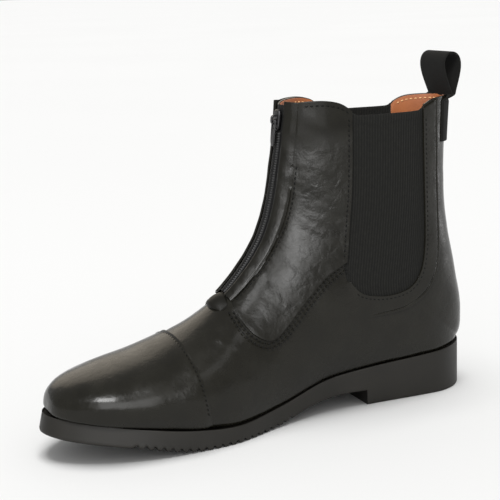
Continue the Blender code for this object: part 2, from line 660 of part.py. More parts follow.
def make_slider(finish):
    """Slider body, wider at its top where the chain opens, with the bail that holds the pull."""
    half_length = 0.5 * SLIDER_LENGTH
    along = np.array([-half_length, -0.6 * half_length, 0.5 * half_length, half_length])
    widths = np.array([0.70, 0.85, 1.0, 0.75]) * SLIDER_HALF
    crown = np.array([0.75, 1.0, 1.0, 0.7]) * SLIDER_TOP
    around = ((-1.0, 0.0), (1.0, 0.0), (1.0, 0.6), (0.7, 1.0), (-0.7, 1.0), (-1.0, 0.6))
    rings = []
    for place, width, top in zip(along, widths, crown):
        across = np.array([width * side for side, _ in around])
        height = np.array([SLIDER_SEAT + (top - SLIDER_SEAT) * up for _, up in around])
        rings.append(on_slider(place, across, height))
    body = lofted("zip_slider", np.array(rings), finish)
    outer = BAIL_HALF_LENGTH
    inner = BAIL_HALF_LENGTH - BAIL_THICK
    foot = SLIDER_TOP - 0.5
    arch = np.array([
        (-outer, foot), (-outer, BAIL_TOP - 0.8), (-outer + 0.8, BAIL_TOP), (outer - 0.8, BAIL_TOP),
        (outer, BAIL_TOP - 0.8), (outer, foot), (inner, foot), (inner, BAIL_TOP - BAIL_THICK),
        (-inner, BAIL_TOP - BAIL_THICK), (-inner, foot),
    ])
    sides = [on_slider(arch[:, 0], y, arch[:, 1]) for y in (-BAIL_HALF_WIDTH, BAIL_HALF_WIDTH)]
    boolean(body, lofted("cut_bail", np.array(sides)), "UNION")


def make_pull(finish):
    """Pull tab: a plate with a window, whose upper bar passes under the bail."""
    bar = 0.5 * PULL_BAR
    corner = 0.35 * PULL_HALF
    half = PULL_HALF
    window = PULL_WINDOW_HALF
    end = -PULL_LENGTH
    flat = np.array([
        (bar, -half), (bar, half), (-PULL_WINDOW_END, half), (end + corner, half), (end, half - corner),
        (end, corner - half), (end + corner, -half), (-PULL_WINDOW_END, -half),
        (-bar, -window), (-bar, window), (-PULL_WINDOW_END, window), (-PULL_WINDOW_END, -window),
    ])
    bars_and_plate = [(0, 1, 9, 8), (1, 2, 10, 9), (7, 0, 8, 11), (2, 3, 4, 5, 6, 7, 11, 10)]
    low = PULL_AXIS_HEIGHT - 0.5 * PULL_THICK
    high = PULL_AXIS_HEIGHT + 0.5 * PULL_THICK
    layers = [on_slider(flat[:, 0], flat[:, 1], height) for height in (low, high)]
    extruded("zip_pull", np.array(layers), bars_and_plate, finish, on_slider(0.0, 0.0, PULL_AXIS_HEIGHT))


def make_roll(finish):
    """Leather roll across the vamp below the zip, fading out down each side."""
    line = last_surface([ROLL_STATION - 0.05, ROLL_STATION, ROLL_STATION + 0.05], 60)
    normal = outward(line, len(line))[1]
    across = line[1]
    along = line[2] - line[0]
    along /= np.linalg.norm(along, axis=1, keepdims=True)
    middle = across[60, 1]
    near = np.flatnonzero(np.abs(across[:, 1] - middle) < ROLL_REACH)[::3]
    turn = np.linspace(0.0, np.pi, 7)
    rings = []
    for i in near:
        away = ((across[i, 1] - middle) / ROLL_REACH) ** 2
        height = GAP + ROLL_CLEAR + ROLL_HEIGHT * (1.0 - 0.85 * away) * np.sin(turn)
        side = ROLL_HALF * (1.0 - ROLL_NARROWING * away) * np.cos(turn)
        rings.append(across[i] + side[:, None] * along[i] + height[:, None] * normal[i])
    lofted("zip_end_roll", np.array(rings), finish)


def back_line(y, z):
    """x of the back of the shaft at a distance y from the middle plane and a height z."""
    rows = BASE[ROW_STATIONS >= 14.0]
    near = SIDE_STEPS // 2
    columns = (*range(-near, 0), *range(1, near))
    xs = [np.interp(z, rows[:, j, 2], rows[:, j, 0]) for j in columns]
    ys = [np.interp(z, rows[:, j, 2], rows[:, j, 1]) for j in columns]
    return np.interp(y, ys, xs)


def make_loop(finish):
    """Webbing folded into a loop above the collar, with both ends sewn to the back as one tail."""
    turn = np.linspace(LOOP_PINCH, 2.0 * np.pi - LOOP_PINCH, LOOP_TURNS)
    rise = 0.5 - 0.5 * np.cos(turn)
    middle = np.stack([LOOP_SPREAD * np.sin(turn) * rise**0.6, LOOP_HEIGHT * rise], axis=1)
    outer = offset_line(middle, 0.5 * LOOP_THICK)
    inner = offset_line(middle, -0.5 * LOOP_THICK)
    if np.ptp(outer[:, 0]) < np.ptp(inner[:, 0]):
        outer, inner = inner, outer
    count = len(turn)
    tail_z = np.linspace(LOOP_TOP_OF_TAIL, LOOP_FOOT, 5)
    neck_x = float(back_line(0.0, 190.0)) - LOOP_CLEAR - LOOP_THICK
    above = np.array([neck_x, LOOP_TOP_OF_TAIL])
    tail = [np.array([(neck_x + LOOP_THICK, z), (neck_x - LOOP_THICK, z)]) for z in tail_z[1:]]
    flat = np.concatenate([outer + above, inner + above, *tail])
    ring = [(i, i + 1, count + i + 1, count + i) for i in range(count - 1)]
    ring.append((count - 1, 0, count, 2 * count - 1))
    ends = [(0, count - 1)]
    for i in range(len(tail_z) - 1):
        ends.append((2 * count + 2 * i, 2 * count + 2 * i + 1))
    ring += [(a, b, d, c) for (a, b), (c, d) in zip(ends[:-1], ends[1:])]
    layers = []
    for y in LOOP_HALF_WIDTH * np.sin(np.linspace(-np.pi / 2, np.pi / 2, LOOP_LAYERS)):
        moved = flat.copy()
        held = np.clip(flat[:, 1], LOOP_FOOT, LOOP_TOP_OF_TAIL)
        wrap = np.array([back_line(y, z) - back_line(0.0, z) for z in held])
        lean = np.array([back_line(0.0, z) - back_line(0.0, 190.0) for z in held])
        loose = np.clip((flat[:, 1] - LOOP_TOP_OF_TAIL) / (0.5 * LOOP_HEIGHT), 0.0, 1.0)
        moved[:, 0] += lean + wrap * (1.0 - loose) ** 2
        layers.append(np.insert(moved, 1, y, axis=1))
    extruded("pull_loop", np.array(layers), ring, finish)


def extruded(name, layers, flat_faces, finish, pivot=(*BOX_CENTRE, 0.0)):
    """A solid from copies of a flat mesh.

    The first and last copies are its ends, and the free edges of all copies its sides.
    """
    size = layers.shape[1]
    known = {(face[k - 1], face[k]) for face in flat_faces for k in range(len(face))}
    free = [(a, b) for a, b in known if (b, a) not in known]
    last = (len(layers) - 1) * size
    faces = [list(face) for face in flat_faces] + [[last + k for k in face[::-1]] for face in flat_faces]
    for layer in range(len(layers) - 1):
        low, high = layer * size, (layer + 1) * size
        faces += [[b + low, a + low, a + high, b + high] for a, b in sorted(free)]
    points = layers.reshape(-1, 3)
    volume = 0.0
    for face in faces:
        for k in range(1, len(face) - 1):
            volume += np.linalg.det(points[[face[0], face[k], face[k + 1]]] - points[0])
    if volume < 0.0:
        faces = [face[::-1] for face in faces]
    return solid(name, points, faces, finish, pivot)


def main():
    """Clears the scene and builds the boot."""
    for old in list(bpy.data.objects):
        bpy.data.objects.remove(old)
    rubber = material("black moulded rubber", (0.030, 0.028, 0.024), 0.55)
    leather = material("black smooth leather", (0.026, 0.025, 0.022), 0.32)
    lining = material("tan leather lining", (0.48, 0.16, 0.048), 0.60)
    elastic = material("black ribbed elastic", (0.021, 0.021, 0.019), 0.90)
    webbing = material("black webbing", (0.014, 0.014, 0.014), 0.85)
    chain = material("black zip chain", (0.012, 0.012, 0.012), 0.45)
    metal = material("gunmetal zip metal", (0.10, 0.10, 0.10), 0.35, 1.0)
    cutters = make_cutters()
    make_outsole(rubber)
    make_insole(lining)
    make_upper(leather, cutters)
    make_toe_cap(leather, cutters)
    make_side_pieces(leather, elastic, cutters)
    make_patch(leather, cutters)
    make_zip_chain(chain)
    make_slider(metal)
    make_pull(metal)
    make_roll(leather)
    make_loop(webbing)


main()
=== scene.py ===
"""Leather, elastic, rubber, zip and stitching of the front zip ankle boot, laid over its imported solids.

The pieces are numpy surfaces on the same last as the solids. Sizes are millimetres until a mesh is made.
x runs from the back of the heel to the toe, y towards the inner side of the foot, z up from the floor.
"""

import logging
from collections.abc import Callable
from dataclasses import dataclass, field, replace
from enum import Enum
from typing import Any

import bpy
import numpy as np
from mathutils import Matrix, Vector


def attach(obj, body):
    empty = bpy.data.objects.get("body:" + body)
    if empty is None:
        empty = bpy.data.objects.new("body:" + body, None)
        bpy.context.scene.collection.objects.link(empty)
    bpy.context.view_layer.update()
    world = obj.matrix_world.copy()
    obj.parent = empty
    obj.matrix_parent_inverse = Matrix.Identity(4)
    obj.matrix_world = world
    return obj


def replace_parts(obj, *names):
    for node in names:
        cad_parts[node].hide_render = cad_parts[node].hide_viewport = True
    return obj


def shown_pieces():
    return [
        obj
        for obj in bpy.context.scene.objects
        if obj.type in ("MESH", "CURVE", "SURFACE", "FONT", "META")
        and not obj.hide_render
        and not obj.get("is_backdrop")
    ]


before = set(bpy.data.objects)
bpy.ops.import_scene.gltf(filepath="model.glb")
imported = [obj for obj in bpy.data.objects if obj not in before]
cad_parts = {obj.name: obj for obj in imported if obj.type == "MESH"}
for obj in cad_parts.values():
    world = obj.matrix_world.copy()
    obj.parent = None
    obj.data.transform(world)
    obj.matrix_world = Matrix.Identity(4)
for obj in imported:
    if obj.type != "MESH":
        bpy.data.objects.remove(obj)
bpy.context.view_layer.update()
log = logging.getLogger("boot")

Array = np.ndarray
Table = tuple[tuple[float, ...], ...]

MM = 0.001
BOX_CENTRE = np.array([141.1, -0.7, 0.0])  # middle of the boot's box, the frame's origin
UPPER_TIP = 280.5  # toe tip of the upper, measured from the back of the heel seat
TOP_STATION = 18.0
LAST_ON_FEATHER = 13.0  # stations up to here stand on the feather line
FRONT = 0.5  # shares v nearer the top line than this lie on the front
ACROSS = np.array([0.0, 1.0, 0.0])  # direction across the boot

# Rows of the last, toe to collar. Each is a plane across the boot, from the top line to a low point.
SECTION_COLUMNS = (
    "top_x", "top_z", "low_x", "low_z", "half", "shift", "ridge", "wide", "top_round", "low_round",
)
ON_FEATHER = -1.0  # low_z of a row whose low point lies on the feather line
SECTIONS: Table = (
    (280.2, 28.5, 280.4, ON_FEATHER, 1.0, 5.0, 5.0, 0.40, 2.20, 2.00),
    (278.2, 37.5, 279.3, ON_FEATHER, 10.2, 5.0, 5.0, 0.40, 2.20, 2.00),
    (272.5, 42.2, 275.8, ON_FEATHER, 17.0, 4.8, 5.0, 0.40, 2.20, 2.00),
    (265.0, 44.8, 268.8, ON_FEATHER, 23.6, 4.5, 5.0, 0.40, 2.20, 2.00),
    (254.0, 47.2, 257.0, ON_FEATHER, 31.0, 4.0, 4.5, 0.38, 2.20, 2.00),
    (238.5, 50.0, 240.5, ON_FEATHER, 36.5, 3.0, 4.0, 0.36, 2.15, 2.00),
    (218.0, 54.2, 219.5, ON_FEATHER, 40.7, 1.5, 3.5, 0.33, 2.10, 2.00),
    (197.5, 61.4, 197.0, ON_FEATHER, 43.1, 0.0, 3.0, 0.30, 2.00, 2.00),
    (180.5, 70.4, 170.0, ON_FEATHER, 41.3, -1.5, 2.5, 0.28, 1.95, 2.00),
    (165.5, 81.8, 135.0, ON_FEATHER, 35.4, -3.0, 1.5, 0.30, 1.90, 2.00),
    (152.0, 96.0, 95.0, ON_FEATHER, 32.9, -2.5, 0.8, 0.34, 1.90, 2.00),
    (142.2, 110.1, 53.5, ON_FEATHER, 31.9, -1.5, 0.2, 0.40, 1.95, 2.10),
    (136.6, 122.3, 19.5, ON_FEATHER, 30.7, -1.0, 0.0, 0.44, 2.00, 2.30),
    (133.6, 132.3, 0.0, ON_FEATHER, 29.7, -0.5, 0.0, 0.46, 2.00, 2.50),
    (131.0, 144.0, -3.6, 50.4, 28.2, -0.5, 0.0, 0.47, 2.00, 2.50),
    (128.6, 156.6, 1.2, 81.5, 26.3, -0.5, 0.0, 0.48, 2.10, 2.35),
    (126.2, 170.2, 7.2, 114.5, 24.7, -0.5, 0.0, 0.48, 2.20, 2.25),
    (124.4, 184.0, 8.6, 150.4, 23.0, -0.5, 0.0, 0.49, 2.30, 2.25),
    (123.0, 201.0, 5.8, 198.0, 20.8, -0.5, 0.0, 0.50, 2.40, 2.30),
)
SECTION_SPLIT = 0.62  # share of a section's run that lies above its widest place
TOE_TUCK = (1.0, 6.0, 60.0)  # most that the upper draws in to the sole at toe, ball and behind the ball
TUCK_STATIONS = (3.0, 7.0, 8.0)

# Feather line, where upper and sole meet, and how far the sole stands out past it
FEATHER_COLUMNS = ("x", "half", "middle", "height")
FEATHER: Table = (
    (0.0, 25.5, 0.0, 30.0), (39.0, 25.2, -0.5, 26.8), (78.0, 24.0, -1.5, 24.2),
    (105.0, 25.3, -3.2, 21.4), (142.0, 32.6, -3.9, 12.6), (176.0, 40.4, -1.9, 10.0),
    (202.0, 38.2, 0.5, 12.6), (228.0, 35.6, 2.4, 17.5), (254.0, 32.0, 3.9, 22.4),
    (286.0, 27.0, 5.0, 28.0),
)
HEEL_ROUND = (30.0, 2.0)  # length and power of the outline's closing at the heel
TOE_ROUND = (80.0, 2.15)  # and at the toe
LEDGE_COLUMNS = ("x", "ledge", "flare")
LEDGES: Table = ((0.0, 1.4, 0.3), (100.0, 1.4, 0.5), (195.0, 2.6, 1.4), (285.0, 3.0, 2.2))
UNDERSIDE_COLUMNS = ("x", "height")
UNDERSIDE: Table = (
    (78.0, 9.4), (97.0, 9.9), (120.0, 6.7), (142.0, 1.3), (158.0, 0.0), (176.0, 0.0), (194.0, 0.0),
    (206.0, 1.5), (225.0, 6.1), (250.0, 11.1), (270.0, 14.5), (288.0, 18.2),
)

# Lines of the pattern pieces in x and z, seen from the side
COLLAR_LINE: Table = (
    (140.0, 190.8), (126.0, 192.2), (117.0, 194.8), (104.0, 195.3), (94.5, 193.6), (88.5, 190.2),
    (84.5, 186.6), (79.0, 185.3), (60.0, 185.0), (41.0, 184.9), (35.5, 185.6), (31.5, 188.6), (26.0, 190.9),
    (17.0, 191.9), (-12.0, 192.4),
)
GUSSET_LINE: Table = (
    (85.5, 205.0), (86.5, 175.0), (88.5, 140.0), (92.0, 110.0), (94.0, 90.0), (87.0, 77.5), (74.0, 73.0),
    (60.0, 72.6), (48.0, 76.0), (40.0, 86.0), (36.0, 105.0), (34.8, 135.0), (34.5, 170.0), (34.5, 205.0),
)
STRAP_LINE: Table = (
    (96.0, 59.5), (74.0, 60.2), (55.0, 61.8), (42.0, 66.5), (33.0, 73.5), (25.5, 87.0), (22.5, 110.0),
    (21.8, 150.0), (21.8, 205.0),
)
LOBE_LINE: Table = (
    (165.8, 94.0), (165.7, 85.0), (165.2, 75.0), (162.4, 66.0), (157.0, 59.5), (149.5, 55.8), (142.5, 57.8),
    (134.0, 65.0), (122.0, 77.0), (109.0, 88.6), (96.0, 96.0),
)
TOE_SEAM: Table = ((203.0, 75.0), (200.5, 59.0), (197.5, 45.0), (195.0, 30.0), (191.0, 5.0))

# Zip sizes that several pieces share. Heights are measured outward from the leather's front line.
ZIP_LOW = 9.02  # stations of the throat's lower end, the closed chain's top and the tape's top
ZIP_CLOSED = 16.5
ZIP_HIGH = 17.5
ZIP_SLOT = 4.5  # half width of the throat
SLIDER_STATION = 17.0
PULL_AXIS_HEIGHT = 3.6
OVERLAY_TOP = 1.4  # outer face of a leather overlay above the leather under it
OVERLAY_THICK = 1.2


class Side(Enum):
    """The two sides of the right boot, as the sign of y."""

    INNER = 1.0
    OUTER = -1.0

    @property
    def word(self) -> str:
        """The side's word in the names of its pieces."""
        return self.name.lower()


def column(rows: Table, columns: tuple[str, ...], name: str) -> Array:
    """One named column of a table."""
    return np.array([row[columns.index(name)] for row in rows], float)


def eased(x: Array) -> Array:
    """0 up to x = 0, 1 from x = 1 on and a smooth S between: three squares less two cubes."""
    x = np.clip(x, 0.0, 1.0)
    return x * x * (3.0 - 2.0 * x)


def bell(x: Array, half: float) -> Array:
    """A bell of height 1 at x = 0: e to the power of minus the square of x over half."""
    return np.exp(-((x / half) ** 2))


def blunt(x: Array, power: float) -> Array:
    """x with its size raised to a power and its sign kept, which squares off a round below 1."""
    return np.sign(x) * np.abs(x) ** power


def smooth(xs: Array, ys: Array, x: Array) -> Array:
    """Cubic through every row of a table, with slopes from the neighbouring rows.

    Args:
        xs: ascending places of the rows.
        ys: values at those places.
        x: places that are asked for.

    Returns:
        The values at x.
    """
    steps = np.diff(xs)
    rises = np.diff(ys) / steps
    slopes = np.empty_like(ys)
    slopes[1:-1] = (rises[:-1] * steps[1:] + rises[1:] * steps[:-1]) / (steps[:-1] + steps[1:])
    slopes[0] = 1.5 * rises[0] - 0.5 * slopes[1]
    slopes[-1] = 1.5 * rises[-1] - 0.5 * slopes[-2]
    i = np.clip(np.searchsorted(xs, x, side="right") - 1, 0, len(steps) - 1)
    t = (x - xs[i]) / steps[i]
    rest = 1.0 - t
    held = ys[i] * (1.0 + 2.0 * t) * rest**2 + ys[i + 1] * (3.0 - 2.0 * t) * t**2
    return held + steps[i] * (slopes[i] * t * rest**2 - slopes[i + 1] * t**2 * rest)


def look_up(rows: Table, columns: tuple[str, ...], name: str, x: Array) -> Array:
    """A smooth value of one column of a table whose first column is x."""
    return smooth(column(rows, columns, columns[0]), column(rows, columns, name), np.asarray(x, float))


def unit(vectors: Array) -> Array:
    """The vectors at length 1."""
    return vectors / np.maximum(np.linalg.norm(vectors, axis=-1, keepdims=True), 1e-9)


def curve(line: Table, count: int) -> Array:
    """A smooth line through the rows of a table, as points that are evenly numbered from row to row."""
    at = np.linspace(0.0, len(line) - 1.0, count)
    return np.stack([smooth(np.arange(len(line)), np.array(axis), at) for axis in zip(*line)], axis=1)


def offset_line(line: Array, distance: float) -> Array:
    """An open line moved sideways, to the right of its direction where distance is positive."""
    along = unit(np.gradient(line, axis=0))
    return line + distance * np.stack([along[:, 1], -along[:, 0]], axis=1)


def running(points: Array, axis: int = 0) -> Array:
    """Running length along one axis of a line or grid of points, from 0.

    Args:
        points: the points, with their coordinates last.
        axis: the axis that is followed.

    Returns:
        A length for each point.
    """
    steps = np.linalg.norm(np.diff(points, axis=axis), axis=-1)
    start = np.zeros_like(np.take(steps, [0], axis=axis))
    return np.concatenate([start, np.cumsum(steps, axis=axis)], axis=axis)


def interpolated(at: Array, along: Array, values: Array) -> Array:
    """Rows of values at places between known rows, each column by straight interpolation."""
    return np.stack([np.interp(at, along, values[:, k]) for k in range(values.shape[1])], axis=1)


def respaced(values: Array, points: Array, count: int) -> Array:
    """Rows of values respaced evenly by the distance between their points."""
    along = running(points)
    return interpolated(np.linspace(0.0, along[-1], count), along, values)


def spaced(points: Array, count: int) -> Array:
    """Evenly spaced points along a line of any dimension."""
    return respaced(points, points, count)


def shared_out(points: Array, share: Array) -> Array:
    """Points along each row of a grid at given shares of the row's length.

    Running lengths are scaled to 1 and the rows stacked two apart, so that one search serves every row.

    Args:
        points: rows of points, each from the row's start to its end.
        share: ascending shares from 0 to 1.

    Returns:
        Rows of points at those shares.
    """
    rows, size = points.shape[:2]
    along = running(points, axis=1)
    along /= np.maximum(along[:, -1:], 1e-9)
    stacked = along + 2.0 * np.arange(rows)[:, None]
    target = share[None, :] + 2.0 * np.arange(rows)[:, None]
    place = np.searchsorted(stacked.ravel(), target.ravel(), side="right").reshape(target.shape) - 1
    start = np.clip(place - size * np.arange(rows)[:, None], 0, size - 2)
    row = np.arange(rows)[:, None]
    gap = np.maximum(along[row, start + 1] - along[row, start], 1e-12)
    t = np.clip((share[None, :] - along[row, start]) / gap, 0.0, 1.0)[..., None]
    return points[row, start] * (1.0 - t) + points[row, start + 1] * t


def end_rounding(x: Array) -> Array:
    """How far the sole's outline has opened at x: 0 at heel and toe tips, 1 along the sides.

    Each end closes as a superellipse, and the two are multiplied.
    """
    heel = np.clip(1.0 - x / HEEL_ROUND[0], 0.0, 1.0) ** HEEL_ROUND[1]
    toe = np.clip(1.0 - (UPPER_TIP - x) / TOE_ROUND[0], 0.0, 1.0) ** TOE_ROUND[1]
    return (1.0 - heel) ** (1.0 / HEEL_ROUND[1]) * (1.0 - toe) ** (1.0 / TOE_ROUND[1])


def feather(x: Array, name: str) -> Array:
    """Half width, middle or height of the feather line at x."""
    return look_up(FEATHER, FEATHER_COLUMNS, name, x)


def above_sole(points: Array) -> Array:
    """Heights of points over the feather line."""
    return points[..., 2] - feather(np.clip(points[..., 0], 0.0, UPPER_TIP), "height")


def inside(outline: Array, points: Array) -> Array:
    """Whether points lie inside a closed outline, by counting the edges to one side of each.

    Args:
        outline: corners of the outline in a plane.
        points: points of the plane.

    Returns:
        True or False for each point.
    """
    a = outline[:, None, :]
    b = np.roll(outline, -1, axis=0)[:, None, :]
    spans = (a[..., 1] > points[:, 1]) != (b[..., 1] > points[:, 1])
    rise = np.where(np.abs(b[..., 1] - a[..., 1]) < 1e-12, 1e-12, b[..., 1] - a[..., 1])
    crossing = a[..., 0] + (points[:, 1] - a[..., 1]) / rise * (b[..., 0] - a[..., 0])
    return (spans & (points[:, 0] < crossing)).sum(axis=0) % 2 == 1


@dataclass
class Last:
    """The last that the upper's pieces are laid on, as a fine table of points and outward directions.

    A place on it is a station s, from 0 at the toe tip to 18 above the collar, and a share v of the way
    from the top line to the foot: 1 at the inner foot, 0 on the top line and -1 at the outer foot.
    """

    stations: int = 901
    side_columns: int = 96
    samples: int = 241  # down each side of a section, before they are shared out evenly
    small: float = 0.01  # step over which slopes are taken, in stations and shares
    most: tuple[float, float] = (0.5, 0.1)  # longest Newton step, in stations and shares
    coarse: tuple[int, int] = (9, 4)  # every so many rows and columns are searched for a first guess
    points: Array = field(init=False, repr=False)
    normals: Array = field(init=False, repr=False)

    def __post_init__(self) -> None:
        """Fills the tables."""
        stations = np.linspace(0.0, TOP_STATION, self.stations)
        self.points = self.surface(stations)
        self.normals = self.outward(stations)

    def rows(self, stations: Array) -> dict[str, Array]:
        """The named section columns at the given stations, with the foot of each section."""
        index = np.arange(len(SECTIONS), dtype=float)
        row = {}
        for name in SECTION_COLUMNS:
            row[name] = smooth(index, column(SECTIONS, SECTION_COLUMNS, name), stations)
        on_feather = stations <= LAST_ON_FEATHER
        known_x = column(SECTIONS, SECTION_COLUMNS, "low_x")
        known_z = column(SECTIONS, SECTION_COLUMNS, "low_z")
        known_z = np.where(known_z == ON_FEATHER, feather(known_x, "height"), known_z)
        low_x = np.clip(row["low_x"], 0.0, UPPER_TIP)
        row["low_z"] = np.where(on_feather, feather(low_x, "height"), smooth(index, known_z, stations))
        tucked = row["half"] - np.interp(stations, TUCK_STATIONS, TOE_TUCK)
        half = np.maximum(feather(low_x, "half") * end_rounding(low_x), tucked)
        row["foot_half"] = np.where(on_feather, half, 0.0)
        row["foot_middle"] = np.where(on_feather, feather(low_x, "middle"), 0.0)
        row["half"] = np.maximum(row["half"], row["foot_half"])
        return {name: value[:, None] for name, value in row.items()}

    def surface(self, stations: Array) -> Array:
        """Points of the last, a row for each station from the inner foot over the top to the outer foot.

        Each side of a section is two superellipse quarters that meet at its widest place. In the lower one
        the squared half width grows from that of the foot to the full one, so that a narrow foot closes as
        a round heel.

        Args:
            stations: ascending stations.

        Returns:
            A grid of points, evenly spaced down each side of a row.
        """
        row = self.rows(stations)
        run = np.linspace(0.0, 1.0, self.samples)
        above = np.clip(run / SECTION_SPLIT, 0.0, 1.0) * np.pi / 2
        below = np.clip((run - SECTION_SPLIT) / (1.0 - SECTION_SPLIT), 0.0, 1.0) * np.pi / 2
        wide = row["wide"]
        high = wide + (1.0 - wide) * np.cos(above) ** (2.0 / row["top_round"])
        high_half = row["half"] * np.sin(above) ** (2.0 / row["top_round"])
        low = wide * (1.0 - np.sin(below) ** (2.0 / row["low_round"]))
        opened = np.clip(np.cos(below), 0.0, 1.0) ** (4.0 / row["low_round"])
        low_half = np.sqrt(row["foot_half"] ** 2 + (row["half"] ** 2 - row["foot_half"] ** 2) * opened)
        is_high = run <= SECTION_SPLIT
        way = np.where(is_high, high, low)
        half = np.where(is_high, high_half, low_half)
        up = (row["ridge"] - row["shift"]) * ((way - wide) / (1.0 - wide)) ** 2
        down = (row["foot_middle"] - row["shift"]) * ((wide - way) / wide) ** 2
        middle = row["shift"] + np.where(way >= wide, up, down)
        x = row["low_x"] + way * (row["top_x"] - row["low_x"])
        z = row["low_z"] + way * (row["top_z"] - row["low_z"])
        share = np.linspace(0.0, 1.0, self.side_columns + 1)
        inner = shared_out(np.stack([x, middle + half, z], axis=2), share)
        outer = shared_out(np.stack([x, middle - half, z], axis=2), share)
        return np.concatenate([inner[:, :0:-1], outer], axis=1)

    def outward(self, stations: Array) -> Array:
        """Unit normals of the table: at each point, the sum of those of the squares around it."""
        grid = self.points
        square = np.cross(grid[1:, 1:] - grid[:-1, :-1], grid[:-1, 1:] - grid[1:, :-1])
        normal = np.zeros_like(grid)
        for rows in (slice(None, -1), slice(1, None)):
            for columns in (slice(None, -1), slice(1, None)):
                normal[rows, columns] += square
        closed = int(np.searchsorted(stations, LAST_ON_FEATHER))
        back = normal[closed:, 0] + normal[closed:, -1]
        normal[closed:, 0] = back
        normal[closed:, -1] = back
        normal[0] = (1.0, 0.0, 0.0)
        return unit(normal)

    def place(self, s: Array, v: Array) -> tuple[Array, Array]:
        """Points and outward directions at places of the last, mixed from the four entries around each.

        Args:
            s: stations.
            v: shares of the way down from the top line, of the same shape.

        Returns:
            Points and unit normals.
        """
        row = np.clip(np.asarray(s, float) / TOP_STATION, 0.0, 1.0) * (self.stations - 1)
        across = np.clip(1.0 - np.asarray(v, float), 0.0, 2.0) * self.side_columns
        i = np.minimum(row.astype(int), self.stations - 2)
        j = np.minimum(across.astype(int), 2 * self.side_columns - 1)
        p = (row - i)[..., None]
        q = (across - j)[..., None]
        found = []
        for entry in (self.points, self.normals):
            near = entry[i, j] * (1.0 - p) + entry[i + 1, j] * p
            far = entry[i, j + 1] * (1.0 - p) + entry[i + 1, j + 1] * p
            found.append(near * (1.0 - q) + far * q)
        return found[0], unit(found[1])

    def at(self, s: Array, v: Array, offset: Array | float = 0.0) -> Array:
        """Points at places of the last, moved outward by an offset."""
        points, normals = self.place(s, v)
        return points + normals * np.asarray(offset, float)[..., None]

    def settle(self, s: Array, v: Array, axes: tuple[int, int], target: Array) -> tuple[Array, Array]:
        """Places where two coordinates have given values, by Newton steps from a first guess.

        Args:
            s: guessed stations.
            v: guessed shares, whose sign is kept.
            axes: numbers of the two coordinates.
            target: their values, one row for each place.

        Returns:
            Stations and shares.
        """
        sign = np.where(v < 0.0, -1.0, 1.0)
        small = self.small
        most_s, most_v = self.most
        for _ in range(14):
            here = self.at(s, v)[:, axes]
            by_s = (self.at(s + small, v)[:, axes] - self.at(s - small, v)[:, axes]) / (2.0 * small)
            by_v = (self.at(s, v + small)[:, axes] - self.at(s, v - small)[:, axes]) / (2.0 * small)
            miss = target - here
            area = by_s[:, 0] * by_v[:, 1] - by_v[:, 0] * by_s[:, 1]
            area = np.where(np.abs(area) < 1e-6, 1e-6, area)
            step_s = (miss[:, 0] * by_v[:, 1] - by_v[:, 0] * miss[:, 1]) / area
            step_v = (by_s[:, 0] * miss[:, 1] - miss[:, 0] * by_s[:, 1]) / area
            s = np.clip(s + np.clip(step_s, -most_s, most_s), 2 * small, TOP_STATION - 2 * small)
            v = sign * np.clip(sign * (v + np.clip(step_v, -most_v, most_v)), 0.0, 1.0 - small)
        return s, v

    def locate(self, line: Array, side: Side) -> tuple[Array, Array]:
        """Places of a line drawn on one side of the boot, by Newton steps from the nearest table entries.

        Args:
            line: points in x and z.
            side: the side of the boot.

        Returns:
            Stations and shares.
        """
        half = self.side_columns
        skip_rows, skip = self.coarse
        columns = slice(0, half + 1, skip) if side is Side.INNER else slice(half, 2 * half + 1, skip)
        coarse = self.points[::skip_rows, columns]
        flat = coarse[..., (0, 2)].reshape(-1, 2)
        nearest = ((line[:, None, :] - flat[None]) ** 2).sum(axis=2).argmin(axis=1)
        s = nearest // coarse.shape[1] * skip_rows * TOP_STATION / (self.stations - 1)
        down = nearest % coarse.shape[1] * skip / half
        v = np.clip(1.0 - down, 0.02, 0.98) if side is Side.INNER else -np.clip(down, 0.02, 0.98)
        return self.settle(s, v, (0, 2), line)

    def halved(self, low: Array, high: Array, past: Callable[[Array], Array]) -> Array:
        """Values at which a test first holds, by halving the span again and again.

        Args:
            low: values at which it doesn't hold.
            high: values at which it does.
            past: the test, from values to True or False.

        Returns:
            The values between.
        """
        for _ in range(30):
            middle = 0.5 * (low + high)
            over = past(middle)
            high = np.where(over, middle, high)
            low = np.where(over, low, middle)
        return 0.5 * (low + high)

    def crossed(self, v: Array, span: tuple[float, float], past: Callable[[Array], Array]) -> Array:
        """Stations within a span from which on the points of lines of constant v pass a test."""
        low, high = (np.full_like(v, end) for end in span)
        return self.halved(low, high, lambda s: past(self.at(s, v)))

    def collar(self, v: Array, drop: float = 0.0) -> Array:
        """Stations at which lines of constant v meet the collar line, or a line lower by drop."""
        x, z = curve(COLLAR_LINE, 241)[::-1].T
        return self.crossed(v, (14.0, TOP_STATION), lambda p: p[..., 2] > np.interp(p[..., 0], x, z) - drop)

    def toe_seam(self, v: Array, behind: float = 0.0) -> Array:
        """Stations at which lines of constant v meet the seam of the toe cap, or a line behind it."""
        x, z = curve(TOE_SEAM, 81)[::-1].T
        return self.crossed(v, (4.5, 9.8), lambda p: p[..., 0] < np.interp(p[..., 2], z, x) - behind)

    def beside(self, s: Array, half: Array | float, side: Side) -> Array:
        """Shares v at which the last is a given distance from the middle plane, near its top line.

        Args:
            s: stations.
            half: the distance.
            side: the side of the boot.

        Returns:
            The shares.
        """

        def past(v: Array) -> Array:
            """Whether the last at v is farther out."""
            return side.value * self.at(s, side.value * v)[..., 1] > half

        return side.value * self.halved(np.zeros_like(s), np.full_like(s, 0.8), past)


LAST = Last()


